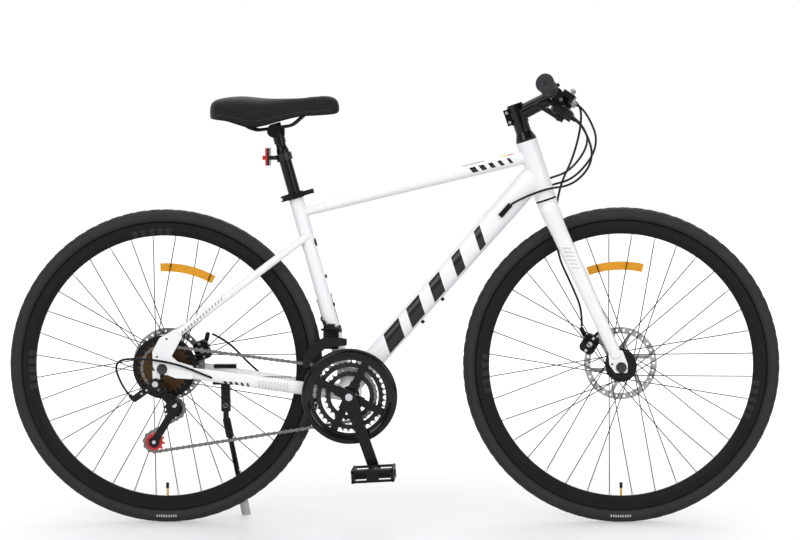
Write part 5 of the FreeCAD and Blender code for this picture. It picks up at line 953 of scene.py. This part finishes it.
# %% Brake bodies
def brake_body(name, axle, disc_middle, angle, tab_end, body):
    out = Vector((math.cos(math.radians(angle)), 0.0, math.sin(math.radians(angle))))
    along = LEFT.cross(out)
    centre = axle + out * 0.080 + LEFT * disc_middle
    bm = bmesh.new()
    rounded_plate(bm, centre - LEFT * 0.0059, LEFT, out, (0.034, 0.042, 0.0074), 0.011, 0.0016)
    rounded_plate(bm, centre + LEFT * 0.0081, LEFT, out, (0.034, 0.044, 0.0118), 0.010, 0.0020)
    rounded_plate(bm, centre + out * 0.0148 + LEFT * 0.0015, LEFT, out, (0.006, 0.030, 0.0230),
                  0.0022, 0.0012)
    post(bm, centre - LEFT * 0.0094, RIGHT, 0.0115, 0.0014, 36, 0.0006)
    post(bm, centre + LEFT * 0.014 + out * 0.002, LEFT, 0.0140, 0.0050, 40, 0.0014)
    post(bm, centre + LEFT * 0.019 + out * 0.002, LEFT, 0.0040, 0.0070, 24, 0.0006)
    start = centre + LEFT * 0.009
    run = tab_end - start
    flat = LEFT - run * (LEFT.dot(run) / run.length_squared)
    rounded_plate(bm, (start + tab_end) / 2.0, flat, run, (run.length, 0.018, 0.008), 0.004, 0.0014)
    shell = fittings(name + "_body", bm, satin_black, body)
    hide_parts(name)
    bm = bmesh.new()
    for way in (-1.0, 1.0):
        bolt(bm, centre - LEFT * 0.0094 + along * (0.0155 * way), RIGHT, 0.0033, 0.0015)
        bolt(bm, centre + LEFT * 0.0138 + along * (0.0172 * way), LEFT, 0.0036, 0.0026)
    bolt(bm, centre - LEFT * 0.0106, RIGHT, 0.0060, 0.0006, 24)
    fittings(name + "_bolts", bm, silver, body)


brake_body("front_caliper", FRONT_AXLE, 0.0399, 148.0, Vector((0.46578, 0.050, 0.41703)), "steering")
brake_body("rear_caliper", REAR_AXLE, 0.0515, 22.0, Vector((-0.446, 0.0634, 0.344)), "frame")

# %% Fork shoulders and seat post head
LEG_RUN = (FRONT_AXLE - FORK_CROWN).normalized()
FAIRING_LENGTH = 0.095
bm = bmesh.new()
for side in (RIGHT, LEFT):
    place = standing_at(FORK_CROWN + side * 0.048, LEG_RUN, LEFT)
    bmesh.ops.create_uvsphere(bm, u_segments=48, v_segments=24, radius=1.0,
                              matrix=place @ Matrix.Diagonal((0.0186, 0.0208, 0.0190, 1.0)))
    made = bmesh.ops.create_cone(bm, cap_ends=True, segments=48, radius1=1.0, radius2=1.0,
                                 depth=FAIRING_LENGTH,
                                 matrix=Matrix.Translation((0.0, 0.0, FAIRING_LENGTH / 2.0)))
    top = [vert for vert in made["verts"] if vert.co.z < FAIRING_LENGTH / 2.0]
    foot = [vert for vert in made["verts"] if vert.co.z > FAIRING_LENGTH / 2.0]
    bmesh.ops.scale(bm, vec=(0.0185, 0.0207, 1.0), verts=top)
    bmesh.ops.scale(bm, vec=(0.0102, 0.0164, 1.0), verts=foot)
    bmesh.ops.transform(bm, matrix=place, verts=made["verts"])
shoulders = finish_mesh("fork_shoulders", bm)
sharpen(shoulders, 50.0)
piece_from("fork_shoulders", shoulders, white, "steering")
bm = bmesh.new()
post(bm, POST_NECK + SEAT_UP * 0.044, SEAT_UP, 0.0128, 0.018, 40, 0.002)
fittings("seat_post_head", bm, satin_black, "post")

# %% [markdown]
# The chain guard is a moulded ring with a rolled outer edge, so it is spun from one closed profile and
# shows a band of light along its crown. A pedal is a barrel between two end frames, joined by rails
# that carry short studs.

# %% Chain guard
GUARD = [
    (0.0582, 0.0800), (0.0602, 0.0800), (0.0611, 0.0812), (0.0612, 0.0835), (0.0610, 0.0860), (0.0618, 0.0885),
    (0.0631, 0.0910), (0.0640, 0.0940), (0.0642, 0.0965), (0.0638, 0.0990), (0.0627, 0.1012), (0.0612, 0.1030),
    (0.0592, 0.1043), (0.0570, 0.1049), (0.0553, 0.1048), (0.0552, 0.1034), (0.0590, 0.1026), (0.0607, 0.1002),
    (0.0614, 0.0962), (0.0606, 0.0915), (0.0590, 0.0872), (0.0582, 0.0845), (0.0582, 0.0800),
]
bm = bmesh.new()
lathe(bm, BRACKET, RIGHT, GUARD, 144)
guard = fittings("chain_guard_ring", bm, gloss_black, "crankset")
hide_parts("chain_guard")


# %% Pedals
def pedal(name, root, side, tilt, body, node):
    length_way = Vector((math.cos(tilt), 0.0, math.sin(tilt)))
    thick_way = Vector((-math.sin(tilt), 0.0, math.cos(tilt)))
    bm = bmesh.new()

    def bar(along, out, up, size):
        middle = root + length_way * along + side * out + thick_way * up
        rounded_plate(bm, middle, thick_way, length_way, size, 0.0015, 0.0008)

    post(bm, root + side * 0.0040, side, 0.0115, 0.0910, 32, 0.001)
    for out in (0.0082, 0.0916):
        for up in (-0.0109, 0.0109):
            bar(0.0, out, up, (0.0925, 0.0080, 0.0052))
        for along in (-0.0424, 0.0424):
            bar(along, out, 0.0, (0.0072, 0.0080, 0.0260))
        bar(0.0, out, 0.0, (0.0270, 0.0084, 0.0210))
    bar(0.0, 0.0498, 0.0, (0.0880, 0.0100, 0.0210))
    for along in (-0.0430, 0.0430):
        for up in (-1.0, 1.0):
            bar(along, 0.0498, 0.0112 * up, (0.0070, 0.0910, 0.0046))
            for out in (0.0100, 0.0300, 0.0500, 0.0700, 0.0900):
                spot = root + length_way * along + side * out + thick_way * (0.0133 * up)
                post(bm, spot, thick_way * up, 0.0017, 0.0017, 10)
    cage = fittings(name, bm, black_plastic, body)
    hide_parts(node)


pedal("pedal_cage_right", Vector((-0.03637, -0.0762, 0.12336)), RIGHT, math.radians(3.0),
      "right_pedal", "pedal_right")
pedal("pedal_cage_left", Vector((-0.14763, 0.0762, 0.44464)), LEFT, math.radians(105.3),
      "left_pedal", "pedal_left")

# %% Front cage plate
bm = bmesh.new()
rounded_plate(bm, Vector((-0.133, -0.0336, 0.4055)), LEFT, Vector((1.0, 0.0, 0.0)),
              (0.034, 0.040, 0.005), 0.004, 0.001)
fittings("front_cage_plate", bm, satin_black, "front_cage")

# %% Fasteners
HANGER = Vector((-0.513, -0.0945, 0.315))
bm = bmesh.new()
bolt(bm, HANGER, RIGHT, 0.0066, 0.0016, 24)
for place in (Vector((-0.5326, -0.0895, 0.3014)), Vector((-0.5434, -0.0895, 0.2939))):
    bolt(bm, place, RIGHT, 0.0024, 0.0012)
bolt(bm, Vector((-0.375, 0.052, 0.252)), RIGHT, 0.0046, 0.0018)
fittings("frame_bolts", bm, silver, "frame")

bm = bmesh.new()
for number in range(4):
    angle = math.radians(-25.9 + 90.0 * number)
    spot = BRACKET + Vector((math.cos(angle), 0.0, math.sin(angle))) * 0.0865
    bolt(bm, Vector((spot.x, -0.0582, spot.z)), RIGHT, 0.0044, 0.0014)
fittings("chainring_bolts", bm, silver, "crankset")

bm = bmesh.new()
bolt(bm, Vector((-0.523, -0.048, 0.1826)), RIGHT, 0.0042, 0.0012)
fittings("cage_bolt", bm, silver, "rear_cage")
bm = bmesh.new()
bolt(bm, Vector((-0.476, -0.0599, 0.266)), RIGHT, 0.0060, 0.0012, 24)
fittings("knuckle_bolt", bm, silver, "rear_knuckle")

HEAD_BACK = Vector((HEAD_DOWN.z, 0.0, -HEAD_DOWN.x))
BAR_REACH = Vector((math.cos(math.radians(33.0)), 0.0, -math.sin(math.radians(33.0))))
BAR_REACH = (BAR_REACH - BAR_OUT * BAR_REACH.dot(BAR_OUT)).normalized()
BAR_OVER = BAR_REACH.cross(BAR_OUT)
bm = bmesh.new()
for side in (RIGHT, LEFT):
    for level in (-0.011, 0.011):
        bolt(bm, STEM_MIDDLE - HEAD_DOWN * level + HEAD_BACK * 0.022 + side * 0.015, side, 0.0034, 0.0008)
    for back, reach, over, radius in ((0.136, 0.030, 0.004, 0.0042), (0.147, 0.040, 0.014, 0.0036),
                                      (0.136, 0.044, -0.024, 0.0050)):
        spot = BAR_END - BAR_OUT * back + BAR_REACH * reach + BAR_OVER * over
        out = BAR_OUT.copy()
        if side is LEFT:
            spot.y, out.y = -spot.y, -out.y
        bolt(bm, spot, out, radius, 0.0012)
fittings("steering_bolts", bm, silver, "steering")

# %% [markdown]
# ## Control cables
#
# Each cable is a smooth NURBS curve through the route of its housing. The points along that curve
# carry a round tube. The cables from the bar to the down tube ride on no body and stay where they are laid.

# %% Cable routes
CABLES = {
    "rear_shift_front": [
        (0.4008, -0.1519, 0.8838), (0.4192, -0.1548, 0.8721), (0.4440, -0.1000, 0.8000), (0.4000, -0.0500, 0.7420),
        (0.3350, -0.0330, 0.7340), (0.2644, -0.0310, 0.7040), (0.2530, -0.0245, 0.6926)],
    "rear_brake_front": [
        (0.4065, -0.1534, 0.9160), (0.4247, -0.1439, 0.9036), (0.4560, -0.0300, 0.8280), (0.4020, 0.0400, 0.7520),
        (0.3400, 0.0330, 0.7380), (0.2659, 0.0310, 0.7026), (0.2545, 0.0245, 0.6913)],
    "front_shift_front": [
        (0.4008, 0.1519, 0.8838), (0.4159, 0.1543, 0.8742), (0.4360, 0.1000, 0.8300), (0.3920, 0.0560, 0.7680),
        (0.3360, 0.0340, 0.7520), (0.2489, 0.0320, 0.7016), (0.2376, 0.0245, 0.6903)],
    "rear_shift_rear": [
        (-0.3920, -0.0660, 0.3256), (-0.4200, -0.0800, 0.3398), (-0.4700, -0.0895, 0.3600),
        (-0.5450, -0.0890, 0.3720), (-0.6060, -0.0840, 0.3660), (-0.5875, -0.0840, 0.3092),
        (-0.5701, -0.0840, 0.2899)],
    "rear_brake_rear": [
        (-0.3000, 0.0500, 0.3276), (-0.3220, 0.0560, 0.3450), (-0.3720, 0.0700, 0.3960), (-0.4055, 0.0735, 0.4101)],
    "front_shift_rear": [
        (-0.1540, 0.0000, 0.4557), (-0.1591, -0.0080, 0.4460), (-0.1500, -0.0230, 0.4460)],
    "front_brake": [
        (0.4065, 0.1534, 0.9160), (0.4217, 0.1455, 0.9057), (0.4040, 0.0840, 0.8100), (0.3600, 0.0740, 0.7200),
        (0.3574, 0.0560, 0.5949), (0.3955, 0.0580, 0.5134), (0.4171, 0.0629, 0.4598), (0.4151, 0.0619, 0.4253)],
}
CABLE_LENGTH = {
    "rear_shift_front": 0.358, "rear_brake_front": 0.435, "front_shift_front": 0.352, "rear_shift_rear": 0.296,
    "rear_brake_rear": 0.138, "front_brake": 0.540,
}


# %% Lay the cables
for name, controls in CABLES.items():
    mesh, points = tube_mesh("cable_" + name, [controls], CABLE_DIAMETER / 2.0, "NURBS")
    crosses = name.endswith("_front")
    body = None if crosses else ("steering" if name == "front_brake" else "frame")
    cable = piece_from("cable_" + name, mesh, cable_skin, body)
    if crosses:
        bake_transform(cable)
    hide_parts("front_brake_cable" if name == "front_brake" else "frame_cables")
    if name in CABLE_LENGTH:
        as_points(points)
    print(name, "points", len(points))

# %% [markdown]
# ## Studio
#
# The bike stands on a wide round floor under a white sky. To the camera and in reflections the floor
# adds its own light, more of it farther out, so that its edge runs into the sky, and its shaded part keeps
# the bike's soft shadow.

# %% Floor
FLOOR_RADIUS = 12.0
NEAR_RADIUS, FAR_RADIUS = 0.4, 3.4
GLOW_NEAR, GLOW_FAR = 0.25, 0.78
bm = bmesh.new()
bmesh.ops.create_circle(bm, cap_ends=True, segments=96, radius=FLOOR_RADIUS)
floor_mesh = finish_mesh("floor", bm)
floor = bpy.data.objects.new("floor", floor_mesh)
bpy.context.scene.collection.objects.link(floor)

floor_paint = surface("floor_paint", (0.60, 0.595, 0.605), (0.63, 0.625, 0.635), (0.42, 0.5),
                      3.0, 300.0, 0.01)
tree = floor_paint.node_tree
shader = tree.nodes["Principled BSDF"]
seen = tree.nodes.new("ShaderNodeLightPath")
direct = calc(tree, "MAXIMUM", seen.outputs["Is Camera Ray"], seen.outputs["Is Glossy Ray"])
shown = calc(tree, "MAXIMUM", direct, seen.outputs["Is Transmission Ray"])
glow = tree.nodes.new("ShaderNodeEmission")
glow.inputs["Color"].default_value = (0.98, 0.97, 1.0, 1.0)
place = tree.nodes.new("ShaderNodeTexCoord")
outward = tree.nodes.new("ShaderNodeVectorMath")
outward.operation = "LENGTH"
tree.links.new(place.outputs["Object"], outward.inputs[0])
added = map_range(tree, outward.outputs["Value"], GLOW_NEAR, GLOW_FAR, NEAR_RADIUS, FAR_RADIUS)
tree.links.new(calc(tree, "MULTIPLY", shown, added), glow.inputs["Strength"])
both = tree.nodes.new("ShaderNodeAddShader")
tree.links.new(shader.outputs["BSDF"], both.inputs[0])
tree.links.new(glow.outputs["Emission"], both.inputs[1])
tree.links.new(both.outputs["Shader"], tree.nodes["Material Output"].inputs["Surface"])
floor_mesh.materials.append(floor_paint)


# %% Lights
def softbox(name, at, look, size, power):
    """A rectangular area lamp that looks at a point."""
    data = bpy.data.lights.new(name, "AREA")
    data.shape = "RECTANGLE"
    data.size, data.size_y = size
    data.energy = power
    lamp = bpy.data.objects.new(name, data)
    bpy.context.scene.collection.objects.link(lamp)
    lamp.location = at
    lamp.visible_camera = False
    lamp.rotation_euler = (Vector(look) - Vector(at)).to_track_quat("-Z", "Y").to_euler()
    return lamp


softbox("key", (-2.6, -4.2, 3.2), (0.0, 0.0, 0.5), (3.0, 2.4), 82.0)
softbox("fill", (3.4, -4.2, 2.2), (0.1, 0.0, 0.5), (2.6, 2.6), 68.0)
front = softbox("front", (0.2, -6.6, 2.4), (0.0, 0.0, 0.5), (5.0, 2.6), 148.0)
front.visible_glossy = False
softbox("top", (0.0, 0.2, 4.2), (0.0, 0.0, 0.3), (4.2, 3.2), 66.0)
softbox("back", (0.6, 3.0, 3.2), (0.0, 0.0, 0.6), (4.0, 1.6), 38.0)

# %% Sky
SKY_LIGHT = 0.36
DIM_ROOM = 0.22
world = bpy.data.worlds.new("studio")
world.use_nodes = True
tree = world.node_tree
sky = tree.nodes["Background"]
sky.inputs["Color"].default_value = (1.0, 1.0, 1.0, 1.0)
seen = tree.nodes.new("ShaderNodeLightPath")
shown = calc(tree, "MAXIMUM", seen.outputs["Is Camera Ray"], seen.outputs["Is Transmission Ray"])
level = map_range(tree, shown, SKY_LIGHT, 1.0)
# In reflections the room is white behind the bike and dim in front of it, as in a photo studio.
room = map_range(tree, coordinates(tree, "Generated")["Y"], DIM_ROOM, 1.0, -0.85, 0.1)
glossy = seen.outputs["Is Glossy Ray"]
mirrored = calc(tree, "MULTIPLY", glossy, room)
plain = calc(tree, "MULTIPLY", calc(tree, "SUBTRACT", 1.0, glossy), level)
tree.links.new(calc(tree, "ADD", mirrored, plain), sky.inputs["Strength"])
bpy.context.scene.world = world
print("lamps:", len(bpy.data.lights))
bpy.context.scene.view_settings.view_transform = "Standard"
